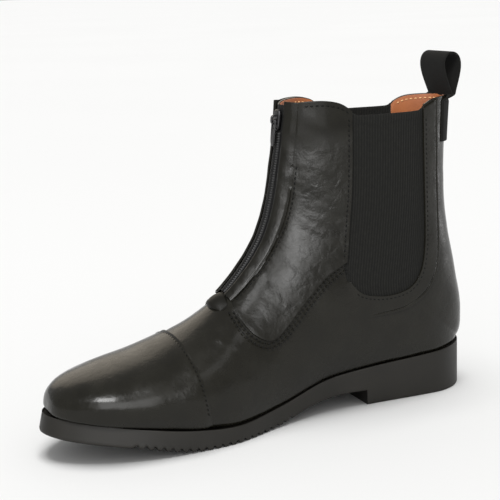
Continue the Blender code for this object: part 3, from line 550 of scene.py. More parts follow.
@dataclass(frozen=True)
class Creases:
    """Soft troughs and ridges of worn leather, placed one by one on the side views of the upper.

    Each row is a trough with its middle at x and z, its direction as degrees from the x axis, its half
    length, half width and depth, and the sign of y on its side. It fades out at its ends and has a low
    ridge along each side. A row of negative depth is a ridge.
    """

    columns: tuple[str, ...] = ("x", "z", "turn", "reach", "width", "depth", "side")
    table: Table = (
        (111.0, 152.0, 12.0, 13.0, 2.6, 0.072, 1.0),
        (113.0, 139.0, 24.0, 12.0, 3.2, 0.102, 1.0),
        (107.0, 128.0, 8.0, 13.0, 2.8, 0.084, 1.0),
        (121.0, 121.0, 34.0, 10.0, 3.4, 0.108, 1.0),
        (112.0, 114.0, 20.0, 14.0, 3.0, 0.102, 1.0),
        (131.0, 103.0, 38.0, 12.0, 3.6, 0.108, 1.0),
        (119.0, 99.0, 30.0, 12.0, 3.0, 0.072, 1.0),
        (142.0, 89.0, 44.0, 11.0, 4.0, 0.09, 1.0),
        (152.0, 74.0, 52.0, 10.0, 4.4, 0.084, 1.0),
        (186.0, 46.0, 70.0, 14.0, 4.0, 0.09, 1.0),
        (178.0, 40.0, 64.0, 12.0, 4.0, 0.072, 1.0),
        (113.0, 146.0, 14.0, 13.0, 3.0, 0.084, -1.0),
        (111.0, 131.0, 20.0, 13.0, 3.0, 0.09, -1.0),
        (116.0, 117.0, 30.0, 13.0, 3.4, 0.108, -1.0),
        (128.0, 103.0, 36.0, 12.0, 3.4, 0.102, -1.0),
        (140.0, 90.0, 44.0, 11.0, 4.0, 0.09, -1.0),
        (187.0, 47.0, 70.0, 14.0, 4.2, 0.102, -1.0),
        (179.0, 42.0, 66.0, 12.0, 4.0, 0.072, -1.0),
        (158.0, 63.5, 46.0, 8.0, 2.2, -0.3, 1.0),
        (178.5, 59.5, 25.0, 5.0, 3.2, -0.34, 1.0),
        (169.0, 52.5, 15.0, 5.5, 3.2, -0.34, 1.0),
        (174.0, 51.0, 60.0, 9.0, 3.0, 0.16, 1.0),
        (158.0, 63.5, 46.0, 8.0, 2.2, -0.3, -1.0),
    )
    swell: float = 0.11  # slow unevenness of the stretched leather

    def depth(self, points: Array) -> Array:
        """How far the leather is raised or sunk: the sum of the troughs, taken from a slow swell.

        A trough is a bell along its bowed line, times a bell across it that turns up at both sides. The
        swell is a sum of two products of sines.

        Args:
            points: points of the last.

        Returns:
            Heights over the last.
        """
        value = {name: column(self.table, self.columns, name) for name in self.columns}
        turn = np.radians(value["turn"])
        dx = points[..., 0, None] - value["x"]
        dz = points[..., 2, None] - value["z"]
        along = (dx * np.cos(turn) + dz * np.sin(turn)) / value["reach"]
        bow = 0.35 * value["width"] * np.sin(2.2 * along)
        across = (dz * np.cos(turn) - dx * np.sin(turn) - bow) / value["width"]
        own_side = 1.0 / (1.0 + np.exp(-0.8 * (points[..., 1, None] * value["side"] - 4.0)))
        dip = (1.0 - 0.9 * across**2) * np.exp(-(across**2)) * np.exp(-(along**2)) * own_side
        x, y, z = points[..., 0], points[..., 1], points[..., 2]
        slow = np.sin(0.17 * x + 0.11 * z + 0.6) * np.sin(0.13 * z - 0.09 * x + 0.05 * y)
        slow = slow + 0.6 * np.sin(0.31 * z + 0.07 * x + 0.12 * y) * np.sin(0.23 * x - 0.15 * z)
        return self.swell * slow - (dip * value["depth"]).sum(axis=-1)


CREASES = Creases()


def hex_colour(code: str) -> tuple[float, float, float, float]:
    """The linear colour of an sRGB hex code."""
    parts = np.array([int(code[i:i + 2], 16) for i in (1, 3, 5)]) / 255.0
    linear = np.where(parts <= 0.04045, parts / 12.92, ((parts + 0.055) / 1.055) ** 2.4)
    return (float(linear[0]), float(linear[1]), float(linear[2]), 1.0)


def add(tree: bpy.types.NodeTree, kind: str, inputs: dict[Any, Any] | None = None, **settings: Any) -> Any:
    """Adds a node, sets its settings, and fills or links its inputs.

    Args:
        tree: the node tree.
        kind: the node's type name.
        inputs: input names or numbers, each with a value or with the socket that it is linked from.
        settings: the node's own settings.

    Returns:
        The node.
    """
    made = tree.nodes.new(kind)
    for name, value in settings.items():
        setattr(made, name, value)
    for name, value in (inputs or {}).items():
        if isinstance(value, bpy.types.NodeSocket):
            tree.links.new(value, made.inputs[name])
        else:
            made.inputs[name].default_value = value
    return made


def new_material(name: str, shader: dict[str, Any]) -> tuple[bpy.types.Material, Any, Any]:
    """A Principled material with constants on its sockets.

    Args:
        name: the real material's name.
        shader: constants by socket name.

    Returns:
        The material, its tree and its Principled node.
    """
    made = bpy.data.materials.new(name)
    made.use_nodes = True
    tree = made.node_tree
    principled = tree.nodes["Principled BSDF"]
    for socket, value in shader.items():
        principled.inputs[socket].default_value = value
    made.diffuse_color = shader.get("Base Color", (0.5, 0.5, 0.5, 1.0))
    return made, tree, principled


def per_size(millimetres: float) -> float:
    """A texture scale whose pattern repeats about every so many millimetres."""
    return 1.0 / (millimetres * MM)


@dataclass(frozen=True)
class Leather:
    """Polished leather: fine pores, a soft mottled gloss and slow changes of tone."""

    name: str = "black polished leather"
    dark: str = "#0e0d0a"
    light: str = "#191813"
    smoothest: float = 0.17
    roughest: float = 0.34
    pore_mm: float = 0.9
    wrinkle_mm: float = 4.0
    wrinkle_depth: float = 0.25
    wrinkle_detail: float = 5.0
    dull_from: float = 400.0  # heights between which the polish ends
    dull_above: float = 420.0
    dull: float = 0.95
    mottle_mm: float = 16.0
    coat: float = 0.10

    def material(self) -> bpy.types.Material:
        """Black leather that gives the eye broad mottled highlights over a fine pored grain."""
        made, tree, shader = new_material(self.name, {
            "Coat Weight": self.coat, "Coat Roughness": 0.14, "Specular IOR Level": 0.18,
        })
        place = add(tree, "ShaderNodeTexCoord").outputs["Object"]
        mottle = add(tree, "ShaderNodeTexNoise", {
            "Vector": place, "Scale": per_size(self.mottle_mm), "Detail": 4.0, "Roughness": 0.6,
        })
        wrinkle = add(tree, "ShaderNodeTexNoise", {
            "Vector": place, "Scale": per_size(self.wrinkle_mm), "Detail": self.wrinkle_detail,
            "Roughness": 0.5, "Distortion": 0.3,
        })
        pores = add(tree, "ShaderNodeTexVoronoi", {"Vector": place, "Scale": per_size(self.pore_mm)})
        tone = add(tree, "ShaderNodeMix", {
            0: mottle.outputs["Fac"], 6: hex_colour(self.dark), 7: hex_colour(self.light),
        }, data_type="RGBA")
        gloss = add(tree, "ShaderNodeMapRange", {
            "Value": mottle.outputs["Fac"], "From Min": 0.3, "From Max": 0.7,
            "To Min": self.smoothest, "To Max": self.roughest,
        })
        height = add(tree, "ShaderNodeSeparateXYZ", {0: place})
        unpolished = add(tree, "ShaderNodeMapRange", {
            "Value": height.outputs["Z"], "From Min": self.dull_from * MM, "From Max": self.dull_above * MM,
        }, interpolation_type="SMOOTHSTEP")
        sheen = add(tree, "ShaderNodeMix", {
            0: unpolished.outputs["Result"], 2: gloss.outputs["Result"], 3: self.dull,
        })
        folds = add(tree, "ShaderNodeBump", {
            "Height": wrinkle.outputs["Fac"], "Strength": 0.8, "Distance": self.wrinkle_depth * MM,
        })
        grain = add(tree, "ShaderNodeBump", {
            "Height": pores.outputs["Distance"], "Normal": folds.outputs["Normal"],
            "Strength": 0.30, "Distance": 0.06 * MM,
        })
        tree.links.new(tone.outputs[2], shader.inputs["Base Color"])
        tree.links.new(sheen.outputs[0], shader.inputs["Roughness"])
        tree.links.new(grain.outputs["Normal"], shader.inputs["Normal"])
        return made


@dataclass(frozen=True)
class Lining:
    """Tan lining leather: matt, with a faint nap and uneven dye."""

    name: str = "tan lining leather"
    dark: str = "#703712"
    light: str = "#9a5929"

    def material(self) -> bpy.types.Material:
        """Tan leather that gives the eye a warm matt inside with cloudy dye."""
        made, tree, shader = new_material(self.name, {"Roughness": 0.62, "Sheen Weight": 0.15})
        place = add(tree, "ShaderNodeTexCoord").outputs["Object"]
        dye = add(tree, "ShaderNodeTexNoise", {"Vector": place, "Scale": per_size(14.0), "Detail": 5.0})
        nap = add(tree, "ShaderNodeTexNoise", {"Vector": place, "Scale": per_size(0.8), "Detail": 2.0})
        tone = add(tree, "ShaderNodeMix", {
            0: dye.outputs["Fac"], 6: hex_colour(self.dark), 7: hex_colour(self.light),
        }, data_type="RGBA")
        bump = add(tree, "ShaderNodeBump", {
            "Height": nap.outputs["Fac"], "Strength": 0.3, "Distance": 0.1 * MM,
        })
        tree.links.new(tone.outputs[2], shader.inputs["Base Color"])
        tree.links.new(bump.outputs["Normal"], shader.inputs["Normal"])
        return made


@dataclass(frozen=True)
class Cloth:
    """Woven cloth on its own coordinates, which are millimetres across and along the piece."""

    name: str
    # dark is painted shade in the valleys between threads, light is painted light on their crests
    dark: str
    light: str
    across_mm: float
    along_mm: float
    roughness: float = 0.88
    relief_mm: float = 0.12
    weft_share: float = 0.35  # height of the weft's waves beside the warp's

    def material(self) -> bpy.types.Material:
        """Cloth with painted shade in the valleys between threads and painted light on their crests, and
        fuzz at grazing angles.
        """
        made, tree, shader = new_material(self.name, {
            "Roughness": self.roughness, "Sheen Weight": 0.02, "Sheen Roughness": 0.5,
            "Specular IOR Level": 0.15,
        })
        place = add(tree, "ShaderNodeUVMap", uv_map="cloth").outputs["UV"]
        apart = add(tree, "ShaderNodeSeparateXYZ", {0: place})
        waves = []
        for axis, thread_mm in (("X", self.across_mm), ("Y", self.along_mm)):
            turns = add(tree, "ShaderNodeMath", {
                0: apart.outputs[axis], 1: 2 * np.pi / thread_mm,
            }, operation="MULTIPLY")
            waves.append(add(tree, "ShaderNodeMath", {0: turns.outputs[0]}, operation="SINE").outputs[0])
        warp, weft = waves
        crossing = add(tree, "ShaderNodeMath", {0: warp, 1: weft}, operation="MULTIPLY")
        ribs = add(tree, "ShaderNodeMath", {
            0: crossing.outputs[0], 1: self.weft_share, 2: warp,
        }, operation="MULTIPLY_ADD")
        most = 1.0 + self.weft_share
        height = add(tree, "ShaderNodeMapRange", {
            "Value": ribs.outputs[0], "From Min": -most, "From Max": most,
        })
        fluff = add(tree, "ShaderNodeTexNoise", {"Vector": place, "Scale": 0.35, "Detail": 4.0})
        # Painted light and shade: the colour follows the threads' height, lighter on crests and darker in
        # valleys, times random fluff
        lit = add(tree, "ShaderNodeMath", {
            0: height.outputs[0], 1: fluff.outputs["Fac"],
        }, operation="MULTIPLY")
        tone = add(tree, "ShaderNodeMix", {
            0: lit.outputs[0], 6: hex_colour(self.dark), 7: hex_colour(self.light),
        }, data_type="RGBA")
        bump = add(tree, "ShaderNodeBump", {
            "Height": height.outputs[0], "Strength": 0.6, "Distance": self.relief_mm * MM,
        })
        tree.links.new(tone.outputs[2], shader.inputs["Base Color"])
        tree.links.new(bump.outputs["Normal"], shader.inputs["Normal"])
        return made


@dataclass(frozen=True)
class Moulded:
    """Moulded rubber, plastic or metal: one tone with slow unevenness and fine marks."""

    name: str
    dark: str
    light: str
    smoothest: float
    roughest: float
    mark_mm: float = 1.2
    relief_mm: float = 0.05
    metallic: float = 0.0
    shine: float = 0.5

    def material(self) -> bpy.types.Material:
        """A moulded surface that gives the eye soft sheen, broken by scuffs and fine speckle."""
        made, tree, shader = new_material(self.name, {
            "Metallic": self.metallic, "Specular IOR Level": self.shine,
        })
        place = add(tree, "ShaderNodeTexCoord").outputs["Object"]
        slow = add(tree, "ShaderNodeTexNoise", {"Vector": place, "Scale": per_size(18.0), "Detail": 5.0})
        marks = add(tree, "ShaderNodeTexNoise", {
            "Vector": place, "Scale": per_size(self.mark_mm), "Detail": 3.0,
        })
        tone = add(tree, "ShaderNodeMix", {
            0: slow.outputs["Fac"], 6: hex_colour(self.dark), 7: hex_colour(self.light),
        }, data_type="RGBA")
        gloss = add(tree, "ShaderNodeMapRange", {
            "Value": slow.outputs["Fac"], "From Min": 0.3, "From Max": 0.7,
            "To Min": self.smoothest, "To Max": self.roughest,
        })
        bump = add(tree, "ShaderNodeBump", {
            "Height": marks.outputs["Fac"], "Strength": 0.35, "Distance": self.relief_mm * MM,
        })
        tree.links.new(tone.outputs[2], shader.inputs["Base Color"])
        tree.links.new(gloss.outputs["Result"], shader.inputs["Roughness"])
        tree.links.new(bump.outputs["Normal"], shader.inputs["Normal"])
        return made


class Finishes:
    """Every finish of the boot, made once."""

    def __init__(self) -> None:
        """Makes the materials."""
        # Well polished, so that the toe has broad clear highlights on deep black
        self.leather = Leather().material()
        # Worn softer than the toe, so that its gloss breaks up into small patches
        self.creased = Leather(
            "black creased leather", smoothest=0.27, roughest=0.44, wrinkle_mm=6.5, wrinkle_depth=0.8,
            wrinkle_detail=2.0, mottle_mm=8.0, dull_from=163.0, dull_above=181.0).material()
        # Folded double and little rubbed, so that it stays even and soft
        self.rolled = Leather("black rolled leather", smoothest=0.44, roughest=0.54, coat=0.02).material()
        # Warm and matt, so that the inside glows at the collar
        self.lining = Lining().material()
        # In the three cloths, the first colour is painted shade in the thread valleys and the second
        # painted light on the crests
        # Upright matt ribs, at the real pitch of boot elastic
        self.elastic = Cloth("black ribbed elastic", "#0c0c0b", "#1f1f1c", 1.9, 0.9, 0.95, 0.12).material()
        # A flat deep black. Its threads are coarser than real ones, which are too fine to show
        self.webbing = Cloth("black woven webbing", "#070706", "#131311", 1.3, 1.0, 0.90, 0.12).material()
        # A dull band on both sides of the coil
        self.tape = Cloth("black zip tape", "#0a0a0a", "#1d1d1d", 0.9, 0.7, 0.9, 0.08).material()
        # An even soft sheen with fine scuffs, duller than the leather
        self.rubber = Moulded(
            "black moulded rubber", "#0f0e0b", "#1a1814", 0.42, 0.58, shine=0.3).material()
        # Nylon turns with small bright points
        self.coil = Moulded(
            "black zip coil", "#080808", "#121212", 0.34, 0.48, 0.6, 0.02, shine=0.2).material()
        # Dark plated metal with small soft highlights
        self.gunmetal = Moulded("gunmetal", "#2b2b2a", "#4a494b", 0.24, 0.40, 0.9, 0.02, 1.0).material()
        # Tiny matt beads that read as a dashed line
        self.thread = Moulded(
            "waxed black thread", "#050505", "#0c0c0b", 0.45, 0.60, 0.4, 0.05, shine=0.12).material()
        # Paler than the lining, so that its rows show
        self.tan_thread = Moulded("tan thread", "#a8733f", "#d9b184", 0.55, 0.70, 0.4, 0.05).material()


@dataclass
class Sheet:
    """A mesh in the making: points in millimetres, faces of four corners, and cloth coordinates."""

    points: Array
    faces: Array
    cloth: Array | None = None

    @classmethod
    def grid(
        cls, points: Array, keep: Array | None = None, cloth: Array | None = None, ring: bool = False,
    ) -> "Sheet":
        """A sheet over a grid of points.

        Args:
            points: rows of points.
            keep: which squares are kept; all of them where it is left out.
            cloth: cloth coordinates of the points.
            ring: whether the last column joins the first.

        Returns:
            The sheet.
        """
        index = np.arange(points.shape[0] * points.shape[1]).reshape(points.shape[:2])
        if ring:
            index = np.concatenate([index, index[:, :1]], axis=1)
        faces = np.stack([index[:-1, :-1], index[1:, :-1], index[1:, 1:], index[:-1, 1:]], axis=2)
        chosen = faces.reshape(-1, 4) if keep is None else faces[keep]
        flat_cloth = None if cloth is None else cloth.reshape(-1, 2)
        return cls(points.reshape(-1, 3), chosen, flat_cloth)

    @classmethod
    def raised(cls, points: Array, normals: Array, out: Array, **options: Any) -> "Sheet":
        """A grid of points moved outward, with its faces outward."""
        return cls.grid(points + normals * out[..., None], **options).facing(normals)

    @classmethod
    def capped(cls, rings: Array) -> "Sheet":
        """A closed sheet over rings of points, whose ends are drawn in to their middles."""
        ends = [np.broadcast_to(end.mean(axis=0), end.shape)[None] for end in (rings[0], rings[-1])]
        return cls.grid(np.concatenate([ends[0], rings, ends[1]]), ring=True).closed_outward()

    @classmethod
    def joined(cls, sheets: list["Sheet"]) -> "Sheet":
        """Several sheets without cloth coordinates as one."""
        starts = np.cumsum([0] + [len(sheet.points) for sheet in sheets[:-1]])
        faces = [sheet.faces + start for sheet, start in zip(sheets, starts)]
        return cls(np.concatenate([sheet.points for sheet in sheets]), np.concatenate(faces))

    def facing(self, outward: Array) -> "Sheet":
        """Turns the faces to the side that given directions point to.

        Args:
            outward: a direction for each point.

        Returns:
            The same sheet.
        """
        a, b, c = (self.points[self.faces[:, k]] for k in (0, 1, 2))
        normal = np.cross(b - a, c - a)
        towards = outward.reshape(-1, 3)[self.faces[:, 0]]
        if (normal * towards).sum() < 0.0:
            self.faces = self.faces[:, ::-1]
        return self

    def closed_outward(self) -> "Sheet":
        """The same closed sheet with its faces outward, by the sign of its volume."""
        middle = self.points.mean(axis=0)
        a, b, c, d = (self.points[self.faces[:, k]] - middle for k in range(4))
        volume = (np.cross(a, b) * c).sum() + (np.cross(a, c) * d).sum()
        if volume < 0.0:
            self.faces = self.faces[:, ::-1]
        return self

    def build(
        self, name: str, material: bpy.types.Material, slot: str, body: str = "boot",
    ) -> bpy.types.Object:
        """The mesh object, with points that coincide made one, riding on a body.

        Args:
            name: the object's name.
            material: its finish.
            slot: a name for the finish's slot; not used.
            body: the body that it moves with.

        Returns:
            The object.
        """
        used, flat = np.unique(self.faces, return_inverse=True)
        _, first, merged = np.unique(
            np.round(self.points[used], 3), axis=0, return_index=True, return_inverse=True)
        corners = merged.reshape(-1)[flat.reshape(self.faces.shape)]
        differs = corners != np.roll(corners, 1, axis=1)
        whole = differs.sum(axis=1) >= 3
        corners, differs = corners[whole], differs[whole]
        placed = (self.points[used][first] - BOX_CENTRE) * MM
        sizes = differs.sum(axis=1)
        loops = np.split(corners[differs], np.cumsum(sizes)[:-1])
        mesh = bpy.data.meshes.new(name)
        mesh.from_pydata(placed.tolist(), [], [loop.tolist() for loop in loops])
        if self.cloth is not None:
            layer = mesh.uv_layers.new(name="cloth")
            layer.data.foreach_set("uv", self.cloth[self.faces[whole]][differs].astype(np.float32).ravel())
        mesh.shade_smooth()
        mesh.materials.append(material)
        obj = bpy.data.objects.new(name, mesh)
        bpy.context.scene.collection.objects.link(obj)
        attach(obj, body)
        log.info("%s: %d faces", name, len(sizes))
        return obj


def thicken(
    obj: bpy.types.Object, thickness: float, edge: float = 0.0, both_sides: bool = False,
) -> bpy.types.Object:
    """Gives a sheet its thickness, inward or to both sides, and rounds its cut edges.

    Args:
        obj: the sheet.
        thickness: in millimetres.
        edge: radius of the rounded edges in millimetres.
        both_sides: whether the sheet is the middle of the thickness.

    Returns:
        The same object.
    """
    depth = obj.modifiers.new("thickness", "SOLIDIFY")
    depth.thickness = thickness * MM
    depth.offset = 0.0 if both_sides else -1.0
    if edge > 0.0:
        rounded = obj.modifiers.new("rounded edges", "BEVEL")
        rounded.width = edge * MM
        rounded.segments = 3
        rounded.limit_method = "ANGLE"
        rounded.angle_limit = np.radians(50.0)
    return obj


def coons(low: Array, high: Array, left: Array, right: Array) -> Array:
    """A patch between four lines of places: the two rulings' sum, less the mix of the four corners.

    Args:
        low: first row, as stations and shares.
        high: last row, of the same count.
        left: first column, from low to high.
        right: last column, of the same count.

    Returns:
        A grid of stations and shares.
    """
    u = np.linspace(0.0, 1.0, len(low))[None, :, None]
    t = np.linspace(0.0, 1.0, len(left))[:, None, None]
    rows = low[None] * (1.0 - t) + high[None] * t
    columns = left[:, None] * (1.0 - u) + right[:, None] * u
    first = low[0] * (1.0 - u) + low[-1] * u
    second = high[0] * (1.0 - u) + high[-1] * u
    return rows + columns - (first * (1.0 - t) + second * t)


def laid(places: Array, count: int) -> Array:
    """Places respaced evenly by their distance on the last."""
    return respaced(places, LAST.at(places[:, 0], places[:, 1]), count)


def located(line: Array, side: Side) -> Array:
    """Places on one side of the last of points in x and z, some thousands at a time."""
    parts = np.array_split(line, len(line) // 3000 + 1)
    return np.concatenate([np.stack(LAST.locate(part, side), axis=1) for part in parts])


@dataclass
class Upper:
    """The hollow leather upper and its tan lining, open at the collar, the throat and both gussets."""

    rows: int = 190
    columns: int = 176
    thickness: float = 1.1
    lining_depth: float = 1.2
    lining_thickness: float = 0.8
    lining_rise: float = 0.15  # how much nearer to the leather it lies at the collar
    lining_grid: tuple[int, int] = (130, 120)
    lining_drop: float = 0.5  # below the collar
    lining_margin: float = 0.4
    tuck: float = 1.2  # how far the foot of the leather draws in above the sole, which leaves a dark line
    tuck_height: float = 1.5
    seam_sink: float = 0.7  # how much lower it lies under the seam of a front panel
    seam_aside: float = 2.0
    seam_reach: float = 5.0
    under_overlay: float = 1.6  # how far the leather stays back under the overlays round a gusset

    def places(self, rows: int, columns: int, drop: float = 0.0) -> tuple[Array, Array]:
        """Stations and shares of a grid over the upper, up to the collar or a line lower by drop."""
        v = np.linspace(1.0, -1.0, columns)
        top = LAST.collar(v, drop)
        t = np.linspace(0.0, 1.0, rows)[:, None]
        return t * top[None, :], np.broadcast_to(v, (rows, columns)).copy()

    def opened(self, s: Array, v: Array, margin: float) -> tuple[Array, Array, Array]:
        """Cuts the gusset windows and the throat out of a grid.

        Squares whose middle lies in an opening are dropped, and points along the cut move onto its line.

        Args:
            s: stations of the grid.
            v: shares of the grid.
            margin: how much larger the windows are cut than the gusset line.

        Returns:
            Stations, shares and the squares that are kept.
        """
        points = LAST.at(s, v)
        middle = 0.25 * (points[1:, 1:] + points[:-1, 1:] + points[1:, :-1] + points[:-1, :-1])
        height = 0.25 * (s[1:, 1:] + s[:-1, 1:] + s[1:, :-1] + s[:-1, :-1])
        window = offset_line(curve(GUSSET_LINE, 900), -margin)
        in_window = inside(window[::6], middle[..., (0, 2)].reshape(-1, 2)).reshape(middle.shape[:2])
        near_front = np.abs(v[1:, 1:]) < FRONT
        in_throat = near_front & (np.abs(middle[..., 1]) < ZIP_SLOT) & (height > ZIP_LOW)
        s, v = s.copy(), v.copy()
        self.to_line(s, v, points, in_window & (middle[..., 1] > 0.0), window, Side.INNER)
        self.to_line(s, v, points, in_window & (middle[..., 1] < 0.0), window, Side.OUTER)
        edge = self.cut_edge(in_throat) & (s > ZIP_LOW + 0.1)
        for side in Side:
            chosen = edge & (side.value * points[..., 1] > 1.0)
            v[chosen] = LAST.beside(s[chosen], ZIP_SLOT, side)
        return s, v, ~(in_window | in_throat)

    def cut_edge(self, dropped: Array) -> Array:
        """The points of a grid that touch both a dropped square and a kept one."""
        padded = np.pad(dropped, 1, mode="edge")
        around = np.stack([padded[1:, 1:], padded[:-1, 1:], padded[1:, :-1], padded[:-1, :-1]])
        return around.any(axis=0) & ~around.all(axis=0)

    def to_line(self, s: Array, v: Array, points: Array, dropped: Array, line: Array, side: Side) -> None:
        """Moves the points along a cut to the nearest points of a line, in place."""
        edge = self.cut_edge(dropped)
        gaps = ((points[edge][:, None, (0, 2)] - line[None]) ** 2).sum(axis=2)
        s[edge], v[edge] = LAST.locate(line[gaps.argmin(axis=1)], side)

    def foot_draw(self, points: Array) -> Array:
        """How far the leather draws in just above the sole."""
        return self.tuck * bell(above_sole(points), self.tuck_height)

    def under_seam(self, s: Array, v: Array, points: Array) -> Array:
        """How much lower the leather lies under the seam of a front panel: a bell across the seam."""
        from_middle = np.abs(points[..., 1] - LAST.at(s, np.zeros_like(s))[..., 1])
        across = bell(from_middle - FrontPanel.seam - self.seam_aside, self.seam_reach)
        in_front = eased((s - ZIP_LOW + 0.1) / 0.3) * eased((FRONT - np.abs(v)) / 0.1)
        return self.seam_sink * across * in_front

    def relief(self, s: Array, v: Array, points: Array) -> Array:
        """How far the leather stands out from the last: its creases less what it draws in."""
        return CREASES.depth(points) - self.foot_draw(points) - self.under_seam(s, v, points)

    def build(self, finishes: Finishes) -> None:
        """Makes the leather and the lining, which follows the leather's relief from inside."""
        s, v, keep = self.opened(*self.places(self.rows, self.columns), self.under_overlay)
        points, normals = LAST.place(s, v)
        skin = Sheet.raised(points, normals, self.relief(s, v, points), keep=keep)
        made = skin.build("upper_leather", finishes.leather, "leather")
        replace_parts(thicken(made, self.thickness, 0.25), "upper")
        s, v, keep = self.opened(*self.places(*self.lining_grid, self.lining_drop), self.lining_margin)
        points, normals = LAST.place(s, v)
        rise = self.lining_rise * np.clip((s - 16.0) / 2.0, 0.0, 1.0)
        under = self.lining_depth - rise - np.minimum(self.relief(s, v, points), 0.0)
        lining = Sheet.raised(points, normals, -under, keep=keep)
        thicken(lining.build("upper_lining", finishes.lining, "lining"), self.lining_thickness, 0.2)


@dataclass
class ToeCap:
    """Leather cap over the toe, in front of its seam across the vamp."""

    rows: int = 120
    columns: int = 150
    bead: float = 0.5  # rise of its edge where the seam crosses the top line
    bead_reach: float = 0.09  # in stations
    groove: float = 0.7  # depth of the line drawn in by the seam's thread
    groove_place: float = 0.055  # in stations in front of the edge
    groove_half: float = 0.025
    top_share: float = 0.34  # shares v that count as the top, where the seam is drawn in
    paring: float = 0.9  # how thin the edge is pared down the sides
    paring_reach: float = 0.12  # in stations
    draw: float = 1.9  # at its foot, where the sole's lip stands round it
    draw_height: float = 1.4

    def build(self, finishes: Finishes) -> None:
        """Lays the cap on the last up to the seam, as rows of equal share of the way from the toe tip."""
        v = np.linspace(1.0, -1.0, self.columns)
        t = 1.0 - (1.0 - np.linspace(0.0, 1.0, self.rows)[:, None]) ** 1.5
        seam = LAST.toe_seam(v)[None, :]
        s = t * seam
        points, normals = LAST.place(s, np.broadcast_to(v, s.shape))
        out = OVERLAY_TOP - self.draw * bell(above_sole(points), self.draw_height) + CREASES.depth(points)
        over_top = np.exp(-((v / self.top_share) ** 4))
        out = out + self.bead * bell(seam - s, self.bead_reach) * over_top
        out = out - self.groove * bell(seam - s - self.groove_place, self.groove_half) * over_top
        out = out - self.paring * bell(seam - s, self.paring_reach) * (1.0 - over_top)
        cap = Sheet.raised(points, normals, out)
        made = thicken(cap.build("toe_cap_leather", finishes.leather, "leather"), OVERLAY_THICK, 0.35)
        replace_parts(made, "toe_cap")


@dataclass
class FrontPanel:
    """One side's front panel: a raised strip beside the zip, a sunk seam and the panel with its lobe."""

    side: Side
    zip_edge: float = 5.2  # distances from the middle plane
    seam: float = 11.6
    low: float = 8.96  # station of its lower end beside the zip
    strip_crown: float = 1.8  # how far the strip rises at its zip edge
    strip_edge: float = 0.12  # share of its width over which it does
    dip: float = 1.2  # how far the panel lies lower at the seam
    dip_reach: float = 5.0
    groove: float = 0.5
    groove_half: float = 0.7
    groove_top: float = 158.0  # heights between which the groove fades away
    groove_full: float = 128.0
    rows: int = 190
    strip_columns: int = 26
    columns: int = 84

    def beside_zip(self, half: float, low: float, count: int) -> Array:
        """Places up the boot at a distance from the middle plane, from a station to the collar."""
        share = np.linspace(0.0, 1.0, count)
        top = LAST.collar(LAST.beside(np.full(1, 17.5), half, self.side))[0]
        s = low + (top - low) * share
        return np.stack([s, LAST.beside(s, half, self.side)], axis=1)

    def lines(self) -> tuple[Array, Array, Array, Array]:
        """The panel's four edges as places: at the seam, the gusset, the collar and the lobe's front.

        Columns stand closer together at the seam, as a power of their share of the way.
        """
        zip_side = self.beside_zip(self.seam, self.low - 0.03, 160)
        lobe = curve(LOBE_LINE, 400)
        window = curve(GUSSET_LINE, 400)
        tip = int(lobe[:, 1].argmin())
        # In front the lobe starts below the strip, and behind it runs on along the gusset
        front = located(lobe[68:tip + 1], self.side)
        front = np.concatenate([zip_side[:1], front[front[:, 0] < zip_side[0, 0] + 2.0]])
        rear_edge = window[(window[:, 0] > 70.0) & (window[:, 1] > 96.5)]
        rear_edge = rear_edge[rear_edge[:, 1] < 190.0]
        rear = located(np.concatenate([lobe[tip:], rear_edge[::-1]]), self.side)
        top = np.linspace(zip_side[-1, 1], rear[-1, 1], 90)
        collar = np.stack([LAST.collar(top), top], axis=1)
        rear = np.concatenate([rear[rear[:, 0] < collar[-1, 0]], collar[-1:]])
        fine = 400
        share = np.linspace(0.0, 1.0, self.columns) ** 1.5 * (fine - 1.0)
        graded = [interpolated(share, np.arange(fine), laid(line, fine)) for line in (collar, front)]
        return laid(zip_side, self.rows), laid(rear, self.rows), graded[0], graded[1]

    def strip(self, seam: Array) -> Array:
        """Places of the strip, from the zip's edge to the seam in each row and closer together there."""
        inner = np.stack([seam[:, 0], LAST.beside(seam[:, 0], self.zip_edge, self.side)], axis=1)
        u = 1.0 - (1.0 - np.linspace(0.0, 1.0, self.strip_columns)) ** 1.5
        return inner[:, None] * (1.0 - u[:, None]) + seam[:, None] * u[:, None]

    def deep(self, height: Array) -> Array:
        """Share of the seam's full depth at a height: 1 low on the shaft, falling smoothly to 0."""
        return eased((self.groove_top - height) / (self.groove_top - self.groove_full))

    def sunk(self, away: Array, height: Array) -> Array:
        """How much lower the panel lies at a distance from the seam, dying away exponentially."""
        fall = np.exp(-np.maximum(away, 0.0) / self.dip_reach)
        return self.dip * fall * self.deep(height) * (away >= 0.0)

    def sheet(self) -> Sheet:
        """Strip and panel as one sheet.

        The strip rises steeply at the zip and falls evenly to the seam. The seam is a bell-shaped groove
        with a shallow dip on the panel's side, and both fade away up the shaft.
        """
        zip_side, rear, collar, front = self.lines()
        strip = self.strip(zip_side)
        places = np.concatenate([strip[:, :-1], coons(front, collar, zip_side, rear)], axis=1)
        points, normals = LAST.place(places[..., 0], places[..., 1])
        seam_points = points[:, self.strip_columns - 1, None]
        away = np.linalg.norm(points - seam_points, axis=2)
        away[:, :self.strip_columns - 1] *= -1.0
        on_strip = np.clip(1.0 + away / np.abs(away[:, :1]), 0.0, 1.0)
        crown = self.strip_crown * (1.0 - on_strip) * (1.0 - np.exp(-on_strip / self.strip_edge))
        dip = self.sunk(away, points[..., 2])
        groove = self.groove * self.deep(points[..., 2]) * bell(away, self.groove_half)
        out = OVERLAY_TOP + crown - dip - groove + CREASES.depth(points)
        return Sheet.raised(points, normals, out)

    def build(self, finishes: Finishes) -> None:
        """Makes the panel with its strip."""
        node = f"front_panel_{self.side.word}"
        made = self.sheet().build(f"{node}_leather", finishes.creased, "leather")
        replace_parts(thicken(made, OVERLAY_THICK, 0.4), node)


